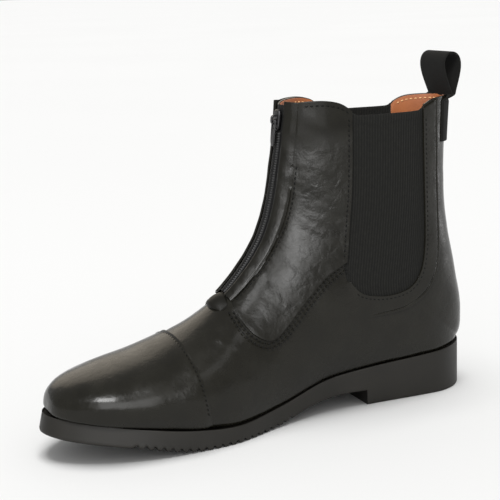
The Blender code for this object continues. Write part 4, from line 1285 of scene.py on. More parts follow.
@dataclass
class Gusset:
    """One side's ribbed elastic gusset, tucked under the leather round it, with a hem at its top."""

    side: Side
    pitch: float = 1.9
    depth: float = 0.5
    relief: float = 0.24
    under: float = 2.2  # how far it runs on under the leather
    hem: float = 5.0
    hem_edge: float = 0.5  # distance over which the hem starts
    hem_rise: float = 0.45
    hem_flat: float = 0.6  # share of the ribs that the hem hides
    bottom: float = 84.0  # height of the ends of its lower edge
    thickness: float = 1.0
    rows: int = 80
    columns: int = 240

    def build(self, finishes: Finishes) -> None:
        """Lays a patch between the gusset line and the collar, with ribs as rounded waves across it."""
        line = offset_line(curve(GUSSET_LINE, 600), -self.under)
        collar = curve(COLLAR_LINE, 600)
        line = line[line[:, 1] < np.interp(line[:, 0], collar[::-1, 0], collar[::-1, 1])]
        low = line[:, 1] < self.bottom
        first, last = int(np.argmax(low)), int(len(low) - np.argmax(low[::-1]))
        between = collar[(collar[:, 0] < line[0, 0]) & (collar[:, 0] > line[-1, 0])]
        top = np.concatenate([line[:1], between, line[-1:]])
        flat = coons(
            spaced(line[first:last], self.columns), spaced(top, self.columns),
            spaced(line[:first + 1][::-1], self.rows), spaced(line[last - 1:], self.rows),
        )
        places = located(flat.reshape(-1, 2), self.side).reshape(flat.shape)
        points, normals = LAST.place(places[..., 0], places[..., 1])
        width = running(points, axis=1)
        down = running(points, axis=0)
        from_top = down[-1:] - down
        hem = 0.5 * (1.0 + np.tanh((self.hem - from_top) / self.hem_edge))
        rib = self.relief * np.abs(np.cos(np.pi * width / self.pitch)) * (1.0 - self.hem_flat * hem)
        out = -self.depth + rib + self.hem_rise * hem
        sheet = Sheet.raised(points, normals, out, cloth=np.stack([width, down], axis=2))
        node = f"gusset_{self.side.word}"
        made = sheet.build(f"{node}_elastic", finishes.elastic, "elastic")
        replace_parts(thicken(made, self.thickness), node)


@dataclass
class GussetStrap:
    """One side's leather strap behind and under the gusset, fading into the quarter at its front end."""

    side: Side
    columns: int = 44
    rows: int = 190
    end: float = 0.09  # share of its length over which its front end goes under
    thinning: float = 0.22  # share of its length over which its outer edge is pared away
    stitch_line: float = 2.0  # distance of the sunk stitch line from the outer edge
    under: float = 0.2  # share of its rise by which its front end goes under the leather
    groove: float = 0.55
    groove_half: float = 0.45

    def lines(self) -> tuple[Array, Array]:
        """The strap's inner and outer edges in x and z, from its front end to the collar."""
        collar = curve(COLLAR_LINE, 600)[::-1]
        window = curve(GUSSET_LINE, 600)
        inner = window[(window[:, 0] < 60.0) | (window[:, 1] < 86.0)]
        inner = np.concatenate([np.array([(99.0, 82.0), (96.0, 84.0)]), inner[inner[:, 0] < 92.5]])
        edges = []
        for line in (inner, curve(STRAP_LINE, 400)):
            below = line[line[:, 1] < np.interp(line[:, 0], collar[:, 0], collar[:, 1])]
            edges.append(spaced(below, self.rows))
        return edges[0], edges[1]

    def build(self, finishes: Finishes) -> None:
        """Lays the strap as straight rulings between its edges.

        Towards its front end the outer edge slopes into the leather, as the square of the way across.
        Along the outer edge the stitches have drawn a bell-shaped groove.
        """
        inner, outer = self.lines()
        u = np.linspace(0.0, 1.0, self.columns)[None, :, None]
        flat = inner[:, None] * (1.0 - u) + outer[:, None] * u
        places = located(flat.reshape(-1, 2), self.side).reshape(flat.shape)
        points, normals = LAST.place(places[..., 0], places[..., 1])
        share = np.linspace(0.0, 1.0, self.rows)[:, None]
        up = eased(share / self.end)
        full = eased(share / self.thinning)
        away = np.linalg.norm(points - points[:, -1:], axis=2)
        fall = 1.0 + self.under
        out = OVERLAY_TOP * np.minimum(fall * up - self.under, 1.0 - fall * u[..., 0] ** 2 * (1.0 - full))
        out = out - self.groove * full * bell(away - self.stitch_line, self.groove_half)
        sheet = Sheet.raised(points, normals, out + CREASES.depth(points))
        node = f"gusset_strap_{self.side.word}"
        made = sheet.build(f"{node}_leather", finishes.leather, "leather")
        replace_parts(thicken(made, OVERLAY_THICK, 0.4), node)


@dataclass
class OvalPatch:
    """The plain oval on the outer gusset, slightly domed with a sunk border."""

    middle: tuple[float, float] = (64.0, 131.0)
    half: tuple[float, float] = (11.5, 18.0)
    top: float = 0.7
    dome: float = 0.15
    fall: float = 0.25  # of its edge
    border: tuple[float, float, float] = (0.22, 0.86, 0.035)  # depth, and place and half width as shares
    thickness: float = 0.9

    def build(self, finishes: Finishes) -> None:
        """Lays rings of the oval on the last. Its height falls off at the edge as a high power."""
        share = np.linspace(0.02, 1.0, 30)
        turn = np.linspace(0.0, 2.0 * np.pi, 96, endpoint=False)
        ring = np.stack([np.cos(turn) * self.half[0], np.sin(turn) * self.half[1]], axis=1)
        flat = share[:, None, None] * ring[None] + np.array(self.middle)
        s, v = LAST.locate(flat.reshape(-1, 2), Side.OUTER)
        points, normals = LAST.place(s.reshape(flat.shape[:2]), v.reshape(flat.shape[:2]))
        depth, place, half = self.border
        groove = depth * bell(share - place, half)
        out = self.top - self.fall * share**6 - groove + self.dome * (1.0 - share**2)
        sheet = Sheet.raised(points, normals, out[:, None], ring=True)
        made = sheet.build("oval_patch_leather", finishes.leather, "leather")
        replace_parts(thicken(made, self.thickness, 0.25), "oval_patch")


def front_frame(stations: Array) -> tuple[Array, Array, Array]:
    """Points, upward directions and outward directions of the boot's front line in the middle plane."""
    middle = LAST.rows(np.atleast_1d(stations))
    near = LAST.rows(np.atleast_1d(stations) + 0.02)
    point = np.concatenate([middle["top_x"], 0.0 * middle["top_x"], middle["top_z"]], axis=1)
    ahead = np.concatenate([near["top_x"], 0.0 * near["top_x"], near["top_z"]], axis=1)
    up = unit(ahead - point)
    return point, up, np.stack([up[:, 2], 0.0 * up[:, 0], -up[:, 0]], axis=1)


def on_slider(along: Array, across: Array, height: Array) -> Array:
    """Points in the slider's own directions.

    Args:
        along: distances up the zip from the slider's middle.
        across: distances across it.
        height: distances out from the leather.

    Returns:
        The points.
    """
    point, up, out = front_frame(np.array([SLIDER_STATION]))
    sizes = [np.asarray(value, float)[..., None] for value in (along, across, height)]
    along, across, height = np.broadcast_arrays(*sizes)
    return point[0] + up[0] * along + ACROSS * across + out[0] * height


@dataclass
class Zip:
    """Zip tape and closed coil along the throat, with the slider, its pull tab and the roll below."""

    tape_half: float = 4.3
    tape_top: float = -0.5
    coil_half: float = 2.6
    coil_top: float = 1.9
    coil_pitch: float = 1.5
    groove: float = 0.5
    slider_half_length: float = 6.5
    slider_half: float = 3.6
    slider_seat: float = -0.2
    slider_top: float = 2.6
    squareness: float = 0.45  # power of the slider's and the tab's outlines
    bail_half_length: float = 3.0
    bail_half_width: float = 0.9
    bail_top: float = 5.8
    bail_thick: float = 1.1
    pull_length: float = 16.0
    pull_above: float = 0.55  # above its axis
    pull_half: float = 2.9
    pull_thick: float = 1.0
    window: tuple[float, float, float] = (1.5, 0.55, 5.4)  # half width, and its ends below the axis
    roll_station: float = 8.62
    roll_reach: float = 8.8
    roll_half: float = 6.4
    roll_narrowing: float = 0.45
    roll_height: float = 3.5

    def run(self, stations: Array) -> tuple[Array, Array, Array]:
        """Points, outward directions and running length up the front line."""
        point, _, out = front_frame(stations)
        return point, out, running(point)

    def tape(self) -> Sheet:
        """The woven tape across the throat."""
        point, out, length = self.run(np.linspace(ZIP_LOW - 0.05, ZIP_HIGH + 0.05, 150))
        y = np.linspace(-self.tape_half, self.tape_half, 13)
        sunk = self.tape_top - 0.10 * np.abs(y)
        grid = point[:, None] + out[:, None] * sunk[None, :, None] + ACROSS * y[None, :, None]
        cloth = np.stack(np.broadcast_arrays(y[None, :], length[:, None]), axis=2)
        return Sheet.grid(grid, cloth=cloth).facing(np.broadcast_to(out[:, None], grid.shape))

    def coil(self) -> Sheet:
        """The closed coil: a half ellipse across, ribbed by its turns and parted where its rows mesh."""
        point, out, length = self.run(np.linspace(ZIP_LOW - 0.03, ZIP_CLOSED, 900))
        y = np.linspace(-1.0, 1.0, 25)
        dome = np.sqrt(np.clip(1.0 - y**2, 0.0, 1.0))
        shifted = length[:, None] / self.coil_pitch + 0.5 * (y[None, :] > 0.0) + 0.22 * np.abs(y)[None, :]
        turns = np.abs(np.sin(np.pi * shifted)) ** 0.7
        parting = self.groove * bell(y, 0.09)
        height = self.tape_top + (self.coil_top - self.tape_top) * dome * (0.80 + 0.20 * turns) - parting
        side = ACROSS * (self.coil_half * y)[None, :, None]
        grid = point[:, None] + out[:, None] * height[..., None] + side
        return Sheet.grid(grid).facing(np.broadcast_to(out[:, None], grid.shape))

    def slider_body(self) -> Sheet:
        """The slider's body: squared rings across the zip, wide where the coil parts."""
        t = np.linspace(-1.0, 1.0, 41)
        wide = np.interp(t, (-1.0, -0.6, 0.5, 1.0), (0.70, 0.86, 1.0, 0.78)) * self.slider_half
        crown = np.interp(t, (-1.0, -0.6, 0.5, 1.0), (0.80, 1.0, 1.0, 0.78))
        closing = np.sqrt(np.clip(1.0 - np.abs(t) ** 14, 0.0, 1.0))
        turn = np.linspace(0.0, 2.0 * np.pi, 40, endpoint=False)
        rise = 0.5 + 0.5 * blunt(np.sin(turn), self.squareness)
        scale = np.maximum(closing, 0.02)
        height = self.slider_seat + (self.slider_top - self.slider_seat) * (
            0.5 + (rise[None, :] - 0.5) * (crown * scale)[:, None])
        along = self.slider_half_length * t[:, None]
        across = (wide * scale)[:, None] * blunt(np.cos(turn), self.squareness)
        return Sheet.grid(on_slider(along, across, height), ring=True).closed_outward()

    def bail(self) -> Sheet:
        """The bail: a rounded bar along an arch over the slider."""
        turn = np.linspace(0.0, np.pi, 41)
        reach = self.bail_half_length - 0.5 * self.bail_thick
        foot = self.slider_top - 0.6
        peak = self.bail_top - 0.5 * self.bail_thick
        arch_along = -reach * blunt(np.cos(turn), 0.5)
        arch_height = foot + (peak - foot) * np.abs(np.sin(turn)) ** 0.5
        tangent = unit(np.stack([np.gradient(arch_along), np.gradient(arch_height)], axis=1))
        around = np.linspace(0.0, 2.0 * np.pi, 16, endpoint=False)
        wide = blunt(np.cos(around), 0.6) * self.bail_half_width
        thick = blunt(np.sin(around), 0.6) * 0.5 * self.bail_thick
        along = arch_along[:, None] - tangent[:, 1:] * thick[None, :]
        height = arch_height[:, None] + tangent[:, :1] * thick[None, :]
        return Sheet.grid(on_slider(along, wide[None, :], height), ring=True).closed_outward()

    def pull(self) -> Sheet:
        """The pull tab: rings from its window to its outer edge, each mixed from these two outlines."""
        turn = np.linspace(0.0, 2.0 * np.pi, 120, endpoint=False)
        cos = blunt(np.cos(turn), self.squareness)
        sin = blunt(np.sin(turn), self.squareness)
        low, high = -self.pull_length, self.pull_above
        narrow = 1.0 - 0.12 * np.clip((sin + 1.0) / 2.0, 0.0, 1.0) ** 0.5
        outer_along = 0.5 * (low + high) + 0.5 * (high - low) * sin
        outer = np.stack([outer_along, self.pull_half * cos * (1.0 - 0.08 * narrow)], axis=1)
        half, upper, lower = self.window
        inner = np.stack([-0.5 * (upper + lower) + 0.5 * (lower - upper) * sin, half * cos], axis=1)
        share = np.linspace(0.0, 1.0, 16)[:, None, None]
        flat = inner[None] * (1.0 - share) + outer[None] * share
        half_thick = 0.5 * self.pull_thick * np.sin(np.pi * share[..., 0]) ** 0.3
        upper_sheet = on_slider(flat[..., 0], flat[..., 1], PULL_AXIS_HEIGHT + half_thick)
        lower_sheet = on_slider(flat[..., 0], flat[..., 1], PULL_AXIS_HEIGHT - half_thick)
        loop = np.concatenate([upper_sheet, lower_sheet[-2:0:-1], upper_sheet[:1]], axis=0)
        return Sheet.grid(loop, ring=True).closed_outward()

    def roll(self) -> Sheet:
        """The leather roll across the zip's lower end: half a ring, fullest towards the toe."""
        v = np.linspace(-0.35, 0.35, 241)
        s = np.full_like(v, self.roll_station)
        points, normals = LAST.place(s, v)
        along = unit(LAST.at(s + 0.05, v) - LAST.at(s - 0.05, v))
        away = (points[:, 1] - LAST.at(s[:1], np.zeros(1))[0, 1]) / self.roll_reach
        chosen = np.abs(away) < 1.25
        points, normals, along, away = points[chosen], normals[chosen], along[chosen], away[chosen]
        fade = np.clip(1.0 - 0.85 * away**2, 0.0, 1.0)
        turn = np.linspace(-0.12, np.pi + 0.12, 41)
        bulge = blunt(np.sin(turn), 0.75) * (1.0 - 0.28 * np.cos(turn))
        height = (0.15 + self.roll_height * fade)[:, None] * bulge
        side = (self.roll_half * (1.0 - self.roll_narrowing * away**2))[:, None] * np.cos(turn)
        grid = points[:, None] + along[:, None] * side[..., None] + normals[:, None] * height[..., None]
        return Sheet.grid(grid).facing(np.broadcast_to(normals[:, None], grid.shape))

    def build(self, finishes: Finishes) -> None:
        """Makes the tape, coil, slider, pull and roll."""
        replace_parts(self.coil().build("zip_coil", finishes.coil, "zip_plastic"), "zip_chain")
        thicken(self.tape().build("zip_tape", finishes.tape, "zip_plastic"), 0.6)
        body = Sheet.joined([self.slider_body(), self.bail()])
        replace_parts(body.build("zip_slider_metal", finishes.gunmetal, "zip_metal"), "zip_slider")
        pull = self.pull().build("zip_pull_metal", finishes.gunmetal, "zip_metal", "zip_pull")
        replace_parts(pull, "zip_pull")
        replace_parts(self.roll().build("zip_end_roll_leather", finishes.rolled, "leather"), "zip_end_roll")


@dataclass
class PullLoop:
    """Webbing folded into a loop above the collar, with both ends sewn to the back as one tail."""

    half_width: float = 13.5
    height: float = 30.9
    spread: float = 9.4
    lean: float = 3.2  # how far the top of the loop stands towards the toe
    thickness: float = 1.1
    clear: float = 0.1
    ply: float = 0.52  # from the tail's middle to the middle of each ply
    foot: float = 163.0
    top_of_tail: float = 188.0
    pinch: float = 0.55  # turn of the loop at which its two sides meet
    release: float = 0.16  # share of the loop's height over which it leaves the curve of the back

    def back(self, y: Array, z: Array) -> Array:
        """x of the back of the shaft at distances y from the middle plane and heights z."""
        shape = np.broadcast(y, z).shape
        y = np.broadcast_to(y, shape).ravel()
        z = np.broadcast_to(z, shape).ravel()
        guess = np.interp(z, (81.5, 114.5, 150.4, 198.0), (15.0, 16.0, 17.0, 18.0))
        s, v = LAST.settle(guess, np.where(y < 0.0, -0.95, 0.95), (1, 2), np.stack([y, z], axis=1))
        return LAST.at(s, v)[:, 0].reshape(shape)

    def path(self) -> tuple[Array, Array]:
        """The webbing's middle line, up the outer ply, round the loop and down the inner ply.

        The loop's sides part as the sine of the turn times its rise, and it leans as a power of the rise.

        Returns:
            The line in x and z, and its running length.
        """
        turn = np.linspace(self.pinch, 2.0 * np.pi - self.pinch, 110)
        rise = 0.5 - 0.5 * np.cos(turn)
        out = self.lean * rise**0.3 - self.spread * np.sin(turn) * rise
        round_loop = np.stack([out, self.height * rise + self.top_of_tail], axis=1)
        up = np.linspace(self.foot, self.top_of_tail, 60)
        outer = np.stack([np.full(60, -self.ply), up], axis=1)
        inner = np.stack([np.full(60, self.ply), up[::-1]], axis=1)
        line = spaced(np.concatenate([outer, round_loop, inner]), 220)
        return line, running(line)

    def build(self, finishes: Finishes) -> None:
        """Gives the webbing its width, bent round the back of the shaft and less and less up the loop."""
        line, length = self.path()
        y = self.half_width * np.linspace(-1.0, 1.0, 31)
        held = np.clip(line[:, 1], self.foot, self.top_of_tail)
        straight = self.back(np.zeros_like(held), held)
        wrap = self.back(y[None, :], held[:, None]) - straight[:, None]
        held_back = 1.0 - eased((line[:, 1] - self.top_of_tail) / (self.release * self.height))
        x = line[:, 0] + straight - self.clear - self.ply - 0.5 * self.thickness
        grid = np.stack(np.broadcast_arrays(
            x[:, None] + wrap * held_back[:, None], y[None, :], line[:, 1:]), axis=2)
        cloth = np.stack(np.broadcast_arrays(y[None, :], length[:, None]), axis=2)
        along = np.gradient(grid, axis=0)
        side = np.gradient(grid, axis=1)
        sheet = Sheet.grid(grid, cloth=cloth).facing(np.cross(along, side))
        made = sheet.build("pull_loop_webbing", finishes.webbing, "webbing")
        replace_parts(thicken(made, self.thickness, 0.3, True), "pull_loop")


@dataclass
class Sole:
    """Unit sole with its heel, waist, ribbed forefoot and the lip round the upper, and the insole."""

    breast: float = 78.0
    rib_first: float = 131.0
    rib_last: float = 236.0
    rib_pitch: float = 5.0
    rib_land: float = 0.48
    rib_depth: float = 1.8
    edge: float = 1.0
    lip: float = 0.5  # how far the rim rises above the feather line
    lip_width: float = 1.1
    lip_round: float = 0.7  # height of its rounding
    seat: tuple[float, float] = (3.0, 1.0)  # how far inside and below the rim the upper's seat lies
    insole_inset: float = 4.2
    insole_end: float = 8.0
    insole_thick: float = 2.0
    insole_lift: float = 0.3

    def stations(self) -> tuple[Array, Array]:
        """Places along the sole, closer together at its ends and ribs, and the ribs' depth there."""
        ends = UPPER_TIP * (0.5 - 0.5 * np.cos(np.linspace(0.004, np.pi - 0.004, 150)))
        ribs = np.arange(self.rib_first, self.rib_last, self.rib_pitch / 10.0)
        plain = ends[(ends < self.rib_first - 0.5) | (ends > self.rib_last + 0.2)]
        plain = plain[np.abs(plain - self.breast) > 0.8]
        by_breast = self.breast + np.array([-0.25, 0.0, 0.25, 0.6])
        x = np.sort(np.concatenate([plain, ribs, by_breast]))
        phase = (x - self.rib_first) / self.rib_pitch % 1.0
        ribbed = (x >= self.rib_first) & (x < self.rib_last)
        groove = np.clip((phase - self.rib_land) / (1.0 - self.rib_land), 0.0, 1.0)
        return x, np.where(ribbed, self.rib_depth * np.sin(np.pi * groove) ** 0.7, 0.0)

    def growth(self, x: Array, name: str) -> Array:
        """Ledge or flare of the sole at x."""
        return look_up(LEDGES, LEDGE_COLUMNS, name, x)

    def side_line(self, x: Array, depth: float) -> tuple[Array, Array]:
        """x and half width of the sole's edge. depth is 0 at its rim and 1 at the floor."""
        tips = np.array([0.0, UPPER_TIP])
        back, front = self.growth(tips, "ledge") + depth * self.growth(tips, "flare")
        side = self.growth(x, "ledge") + depth * self.growth(x, "flare")
        stretched = -back + x / UPPER_TIP * (UPPER_TIP + back + front)
        return stretched, (feather(x, "half") + side) * end_rounding(x)

    def sole(self) -> Sheet:
        """The sole as rings across it: flat below, rounded lower edges, plain sides and a rounded lip."""
        x, cut = self.stations()
        top = feather(x, "height") + self.lip
        under = np.maximum(look_up(UNDERSIDE, UNDERSIDE_COLUMNS, "height", x), 0.0)
        bare = np.where(x <= self.breast, 0.0, under)
        rim_x, rim_half = self.side_line(x, 0.0)
        floor_x, floor_half = self.side_line(x, 1.0)
        middle = feather(x, "middle")
        turn = np.linspace(0.0, np.pi / 2, 5)
        # The wall is the same slope from floor to rim at a rib and between two ribs
        wall = (top - self.lip_round - bare - self.edge)[:, None]
        mix = np.concatenate([np.zeros(5), np.linspace(0.0, 1.0, 9)[1:-1]])
        up = (cut[:, None] + (wall - cut[:, None]) * mix) / wall
        px = [floor_x[:, None] * (1.0 - up) + rim_x[:, None] * up]
        half = [floor_half[:, None] * (1.0 - up) + rim_half[:, None] * up]
        height = [(bare + self.edge)[:, None] + wall * up]
        small = np.minimum(self.edge, 0.4 * floor_half)[:, None]
        half[0][:, :5] -= small * (1.0 - np.sin(turn))
        height[0][:, :5] -= self.edge * np.cos(turn)
        lip = np.minimum(self.lip_width, 0.4 * rim_half)[:, None]
        over = np.linspace(0.0, np.pi, 9)
        px.append(np.broadcast_to(rim_x[:, None], (len(x), 9)))
        half.append(rim_half[:, None] - lip * (0.5 - 0.5 * np.cos(over)))
        height.append((top - self.lip_round)[:, None] + self.lip_round * np.sin(over))
        px.append(rim_x[:, None])
        half.append(np.maximum(rim_half[:, None] - self.seat[0], 0.25 * rim_half[:, None]))
        height.append((top - self.seat[1])[:, None])
        ring_x, ring_half, ring_z = (np.concatenate(part, axis=1) for part in (px, half, height))
        inner = np.stack([ring_x, middle[:, None] + ring_half, ring_z], axis=2)
        outer = np.stack([ring_x, middle[:, None] - ring_half, ring_z], axis=2)
        return Sheet.capped(np.concatenate([inner, outer[:, ::-1]], axis=1))

    def insole(self) -> Sheet:
        """The insole as rounded rings across it."""
        share = 0.5 - 0.5 * np.cos(np.linspace(0.01, np.pi - 0.01, 80))
        x = self.insole_end + (UPPER_TIP - 2.0 * self.insole_end) * share
        half = np.maximum((feather(x, "half") - self.insole_inset) * end_rounding(share * UPPER_TIP), 0.4)
        turn = np.linspace(0.0, 2.0 * np.pi, 48, endpoint=False)
        rise = 0.5 + 0.5 * blunt(np.sin(turn), 0.6)
        y = feather(x, "middle")[:, None] + half[:, None] * blunt(np.cos(turn), 0.35)
        z = feather(x, "height")[:, None] + self.insole_lift + self.insole_thick * rise
        return Sheet.capped(np.stack(np.broadcast_arrays(x[:, None], y, z), axis=2))

    def build(self, finishes: Finishes) -> None:
        """Makes the sole and the insole."""
        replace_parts(self.sole().build("outsole_rubber", finishes.rubber, "sole_rubber"), "outsole")
        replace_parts(self.insole().build("insole_leather", finishes.lining, "lining"), "insole")


@dataclass
class Stitching:
    """Rows of thread along the edges of the pieces. A stitch is a bead drawn into the leather."""

    pitch: float = 3.0
    length: float = 2.2
    radius: float = 0.40
    top: float = OVERLAY_TOP + 0.12  # height of a row on an overlay
    fine_top: float = OVERLAY_TOP + 0.06
    sunk_top: float = OVERLAY_TOP - 0.35
    inside_depth: float = 2.05  # of the rows on the lining

    def row(self, path: Array, outward: Array) -> Sheet:
        """Stitches along a line of points.

        Args:
            path: points of the line.
            outward: outward directions at those points.

        Returns:
            The stitches as one sheet of rounded beads.
        """
        along = running(path)
        count = max(int(along[-1] / self.pitch), 2)
        at = (np.arange(count) + 0.5) * along[-1] / count
        middle = interpolated(at, along, path)
        up = unit(interpolated(at, along, outward))
        ahead = unit(interpolated(at, along, np.gradient(path, along, axis=0)))
        side = np.cross(up, ahead)
        run = np.linspace(-1.0, 1.0, 7)
        turn = np.linspace(0.0, 2.0 * np.pi, 6, endpoint=False)
        thick = self.radius * np.clip(1.0 - run**4, 0.0, 1.0)
        sink = 0.55 * self.radius * run**2
        bead = np.stack(np.broadcast_arrays(
            0.5 * self.length * run[:, None],
            thick[:, None] * np.cos(turn),
            thick[:, None] * np.sin(turn) - sink[:, None],
        ), axis=2)
        axes = np.stack([ahead, side, up], axis=1)
        placed = middle[:, None, None] + np.einsum("abk,nkd->nabd", bead, axes)
        template = Sheet.grid(bead, ring=True).closed_outward().faces
        faces = template[None] + (np.arange(count) * bead.shape[0] * bead.shape[1])[:, None, None]
        return Sheet(placed.reshape(-1, 3), faces.reshape(-1, 4))

    def on_line(self, line: Array, side: Side, height: float) -> Sheet:
        """Stitches along a line in x and z on one side of the boot, at a height over the last."""
        return self.on_places(located(line, side), height)

    def on_places(self, places: Array, height: float | Array) -> Sheet:
        """Stitches along places of the last, at a height over it."""
        points, normals = LAST.place(places[:, 0], places[:, 1])
        raised = height + CREASES.depth(points)
        return self.row(points + normals * raised[:, None], normals)

    def on_panel(self, panel: FrontPanel, places: Array) -> Sheet:
        """Stitches along places of a front panel, which lies lower beside its seam."""
        points = LAST.at(places[:, 0], places[:, 1])
        seam = panel.beside_zip(panel.seam, panel.low, 160)
        gaps = np.linalg.norm(points[:, None] - LAST.at(seam[:, 0], seam[:, 1])[None], axis=2)
        return self.on_places(places, self.top - panel.sunk(gaps.min(axis=1), points[:, 2]))

    def side_rows(self, side: Side) -> list[Sheet]:
        """The rows of one side: panel and lobe edges, seam beside the zip, strap edges and collar."""
        panel = FrontPanel(side)
        seam = panel.beside_zip(panel.seam + 1.5, 9.05, 160)
        seam = seam[LAST.at(seam[:, 0], seam[:, 1])[:, 2] < panel.groove_top]
        rows = [self.on_panel(panel, seam)]
        tip = curve(LOBE_LINE, 400)[84:]
        rows += [self.on_panel(panel, located(offset_line(tip, -gap), side)) for gap in (1.8, 4.4)]
        window = curve(GUSSET_LINE, 500)
        front = window[(window[:, 0] > 70.0) & (window[:, 1] > 99.0) & (window[:, 1] < 185.0)]
        rows.append(self.on_line(offset_line(front, -2.2), side, self.top))
        rear = window[(window[:, 0] < 60.0) | (window[:, 1] < 80.0)]
        rear = rear[(rear[:, 0] < 88.0) & (rear[:, 1] < 181.0)]
        fine = replace(self, length=2.0, radius=0.28)
        rows.append(fine.on_line(offset_line(rear, -2.0), side, self.fine_top))
        strap = curve(STRAP_LINE, 400)
        strap = strap[(strap[:, 1] < 188.0) & (strap[:, 0] < 44.0)]
        rows.append(fine.on_line(offset_line(strap, 2.0), side, self.sunk_top))
        return rows

    def collar_row(self, first: float, last: float, drop: float, height: float) -> Sheet:
        """A row below the collar line, from one share v to another."""
        v = np.linspace(first, last, 120)
        return self.on_places(np.stack([LAST.collar(v, drop), v], axis=1), height)

    def build(self, finishes: Finishes) -> None:
        """Makes the rows of black thread, the toe cap's row and the rows of the lining."""
        rows = [row for side in Side for row in self.side_rows(side)]
        v = np.linspace(0.86, -0.86, 200)
        fine = replace(self, length=1.8, radius=0.28)
        rows.append(fine.on_places(np.stack([LAST.toe_seam(v, -2.0), v], axis=1), self.fine_top))
        for side in Side:
            front = LAST.beside(np.full(1, 17.4), 13.5, side)[0]
            rear = located(np.array([[88.0, 186.0]]), side)[0, 1]
            rows.append(self.collar_row(front, rear, 3.0, self.top))
        Sheet.joined(rows).build("stitches_black", finishes.thread, "leather")
        inside_rows = []
        for side in Side:
            front = LAST.beside(np.full(1, 17.4), 8.0, side)[0]
            near = located(np.array([[90.0, 186.0]]), side)[0, 1]
            far = located(np.array([[31.0, 184.0]]), side)[0, 1]
            for first, last in ((front, near), (far, side.value * 0.995)):
                v = np.linspace(first, last, 80)
                points, normals = LAST.place(LAST.collar(v, 3.0), v)
                inside_rows.append(self.row(points - normals * self.inside_depth, -normals))
        Sheet.joined(inside_rows).build("stitches_tan", finishes.tan_thread, "lining")


TOE_LIGHT = (514.0, 677.0, 1060.0)  # the toe and the panels share a place


@dataclass(frozen=True)
class SoftBox:
    """A soft studio light: a pale rectangle at a place, turned to a target, with its size and watts.

    It reaches the pieces whose names start with one of only_on, but none that start with one of not_on.
    """

    name: str
    place: tuple[float, float, float]
    target: tuple[float, float, float]
    width: float
    height: float
    watts: float
    tint: str = "#ffffff"
    only_on: tuple[str, ...] = ("",)
    not_on: tuple[str, ...] = ()

    def lights(self, name: str) -> bool:
        """Whether the light reaches the piece of this name."""
        return name.startswith(self.only_on) and not name.startswith(self.not_on)


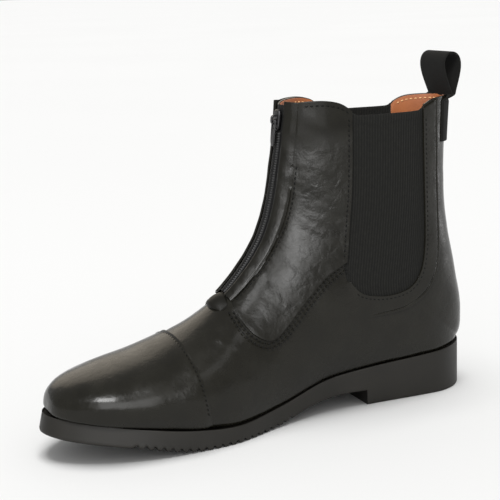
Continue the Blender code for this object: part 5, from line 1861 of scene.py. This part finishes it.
@dataclass
class Studio:
    """Pale floor, soft lights and the camera at the photograph's angle."""

    camera_place: tuple[float, float, float] = (282.3, 614.1, 262.8)
    camera_target: tuple[float, float, float] = (2.0, -7.2, 103.7)
    camera_roll: float = -1.86
    lens: float = 81.0
    floor_half: float = 60000.0
    sky: float = 0.46  # light from all around
    sun: float = 2.05  # a very soft light from straight above, the same all over the floor
    sun_width: float = 32.0
    soft_boxes: tuple[SoftBox, ...] = (
        SoftBox("side", (420.0, 1180.0, 525.0), (-30.0, 0.0, 110.0), 1150.0, 740.0, 13.5),
        SoftBox(
            "toe", TOE_LIGHT, (110.0, 30.0, 40.0), 520.0, 360.0, 19.0, not_on=("front_panel", "zip_end")),
        SoftBox(
            "panel", TOE_LIGHT, (110.0, 30.0, 40.0), 520.0, 360.0, 6.0,
            only_on=("front_panel", "zip_end")),
        SoftBox(
            "panel core", (307.0, 934.0, 386.0), (10.0, 20.0, 110.0), 460.0, 250.0, 3.4,
            only_on=("front_panel",)),
        SoftBox("upper side", (-490.0, 885.0, 950.0), (20.0, 20.0, 60.0), 380.0, 300.0, 0.6),
        SoftBox("back", (-110.0, -1330.0, 800.0), (90.0, 0.0, 40.0), 1300.0, 1100.0, 5.0, "#fff0d8"),
        SoftBox("rear", (-1450.0, 60.0, 260.0), (-120.0, 0.0, 100.0), 260.0, 900.0, 4.0),
    )

    def aim(
        self, obj: bpy.types.Object, place: tuple[float, ...], target: tuple[float, ...], roll: float,
    ) -> None:
        """Puts a light or the camera in its place.

        Args:
            obj: the light or the camera.
            place: where it stands, in millimetres.
            target: the point that it looks at.
            roll: degrees by which it is rolled.
        """
        start = Vector(place) * MM
        turn = (Vector(target) * MM - start).to_track_quat("-Z", "Y").to_matrix().to_4x4()
        obj.matrix_world = Matrix.Translation(start) @ turn @ Matrix.Rotation(np.radians(roll), 4, "Z")

    def floor(self) -> bpy.types.Object:
        """A wide pale sheet with a matt finish and faint mottling."""
        made, tree, shader = new_material("pale studio paper", {"Roughness": 0.9})
        place = add(tree, "ShaderNodeTexCoord").outputs["Object"]
        cloud = add(tree, "ShaderNodeTexNoise", {"Vector": place, "Scale": per_size(900.0), "Detail": 2.0})
        tone = add(tree, "ShaderNodeMix", {
            0: cloud.outputs["Fac"], 6: hex_colour("#f0f0ef"), 7: hex_colour("#f4f4f3"),
        }, data_type="RGBA")
        tree.links.new(tone.outputs[2], shader.inputs["Base Color"])
        half = self.floor_half * MM
        mesh = bpy.data.meshes.new("floor")
        corners = [(-half, -half, 0.0), (half, -half, 0.0), (half, half, 0.0), (-half, half, 0.0)]
        mesh.from_pydata(corners, [], [(0, 1, 2, 3)])
        mesh.materials.append(made)
        floor = bpy.data.objects.new("floor", mesh)
        bpy.context.scene.collection.objects.link(floor)
        floor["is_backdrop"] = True
        return floor

    def build(self) -> None:
        """Makes the floor, the lights, the pale surroundings and the camera."""
        scene = bpy.context.scene
        floor = self.floor()
        sun = bpy.data.lights.new("overhead", "SUN")
        sun.energy = self.sun
        sun.angle = np.radians(self.sun_width)
        overhead = bpy.data.objects.new("overhead", sun)
        scene.collection.objects.link(overhead)
        # The overhead light whitens the floor, and its soft shadow falls there
        overhead.light_linking.receiver_collection = bpy.data.collections.new("lit from above")
        overhead.light_linking.receiver_collection.objects.link(floor)
        for box in self.soft_boxes:
            lamp = bpy.data.lights.new(box.name, "AREA")
            lamp.shape = "RECTANGLE"
            lamp.size = box.width * MM
            lamp.size_y = box.height * MM
            lamp.energy = box.watts
            lamp.color = hex_colour(box.tint)[:3]
            obj = bpy.data.objects.new(box.name, lamp)
            scene.collection.objects.link(obj)
            self.aim(obj, box.place, box.target, 0.0)
            # The soft boxes leave the floor to the overhead light, so that it stays even
            obj.light_linking.receiver_collection = bpy.data.collections.new(f"lit by {box.name}")
            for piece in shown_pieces():
                if box.lights(piece.name):
                    obj.light_linking.receiver_collection.objects.link(piece)
        world = bpy.data.worlds.new("studio")
        world.use_nodes = True
        background = world.node_tree.nodes["Background"]
        background.inputs["Color"].default_value = (1.0, 1.0, 1.0, 1.0)
        background.inputs["Strength"].default_value = self.sky
        scene.world = world
        scene.view_settings.view_transform = "Standard"
        lens = bpy.data.cameras.new("camera")
        lens.lens = self.lens
        lens.sensor_width = 36.0
        lens.clip_start = 0.01
        lens.clip_end = 200.0
        camera = bpy.data.objects.new("camera", lens)
        scene.collection.objects.link(camera)
        self.aim(camera, self.camera_place, self.camera_target, self.camera_roll)
        scene.camera = camera


def main() -> None:
    """Builds the boot's pieces in order, then the studio."""
    logging.basicConfig(level=logging.INFO, format="%(name)s: %(message)s")
    finishes = Finishes()
    Sole().build(finishes)
    Upper().build(finishes)
    ToeCap().build(finishes)
    for side in Side:
        FrontPanel(side).build(finishes)
        Gusset(side).build(finishes)
        GussetStrap(side).build(finishes)
    OvalPatch().build(finishes)
    Zip().build(finishes)
    PullLoop().build(finishes)
    Stitching().build(finishes)
    Studio().build()


if __name__ == "__main__":
    main()
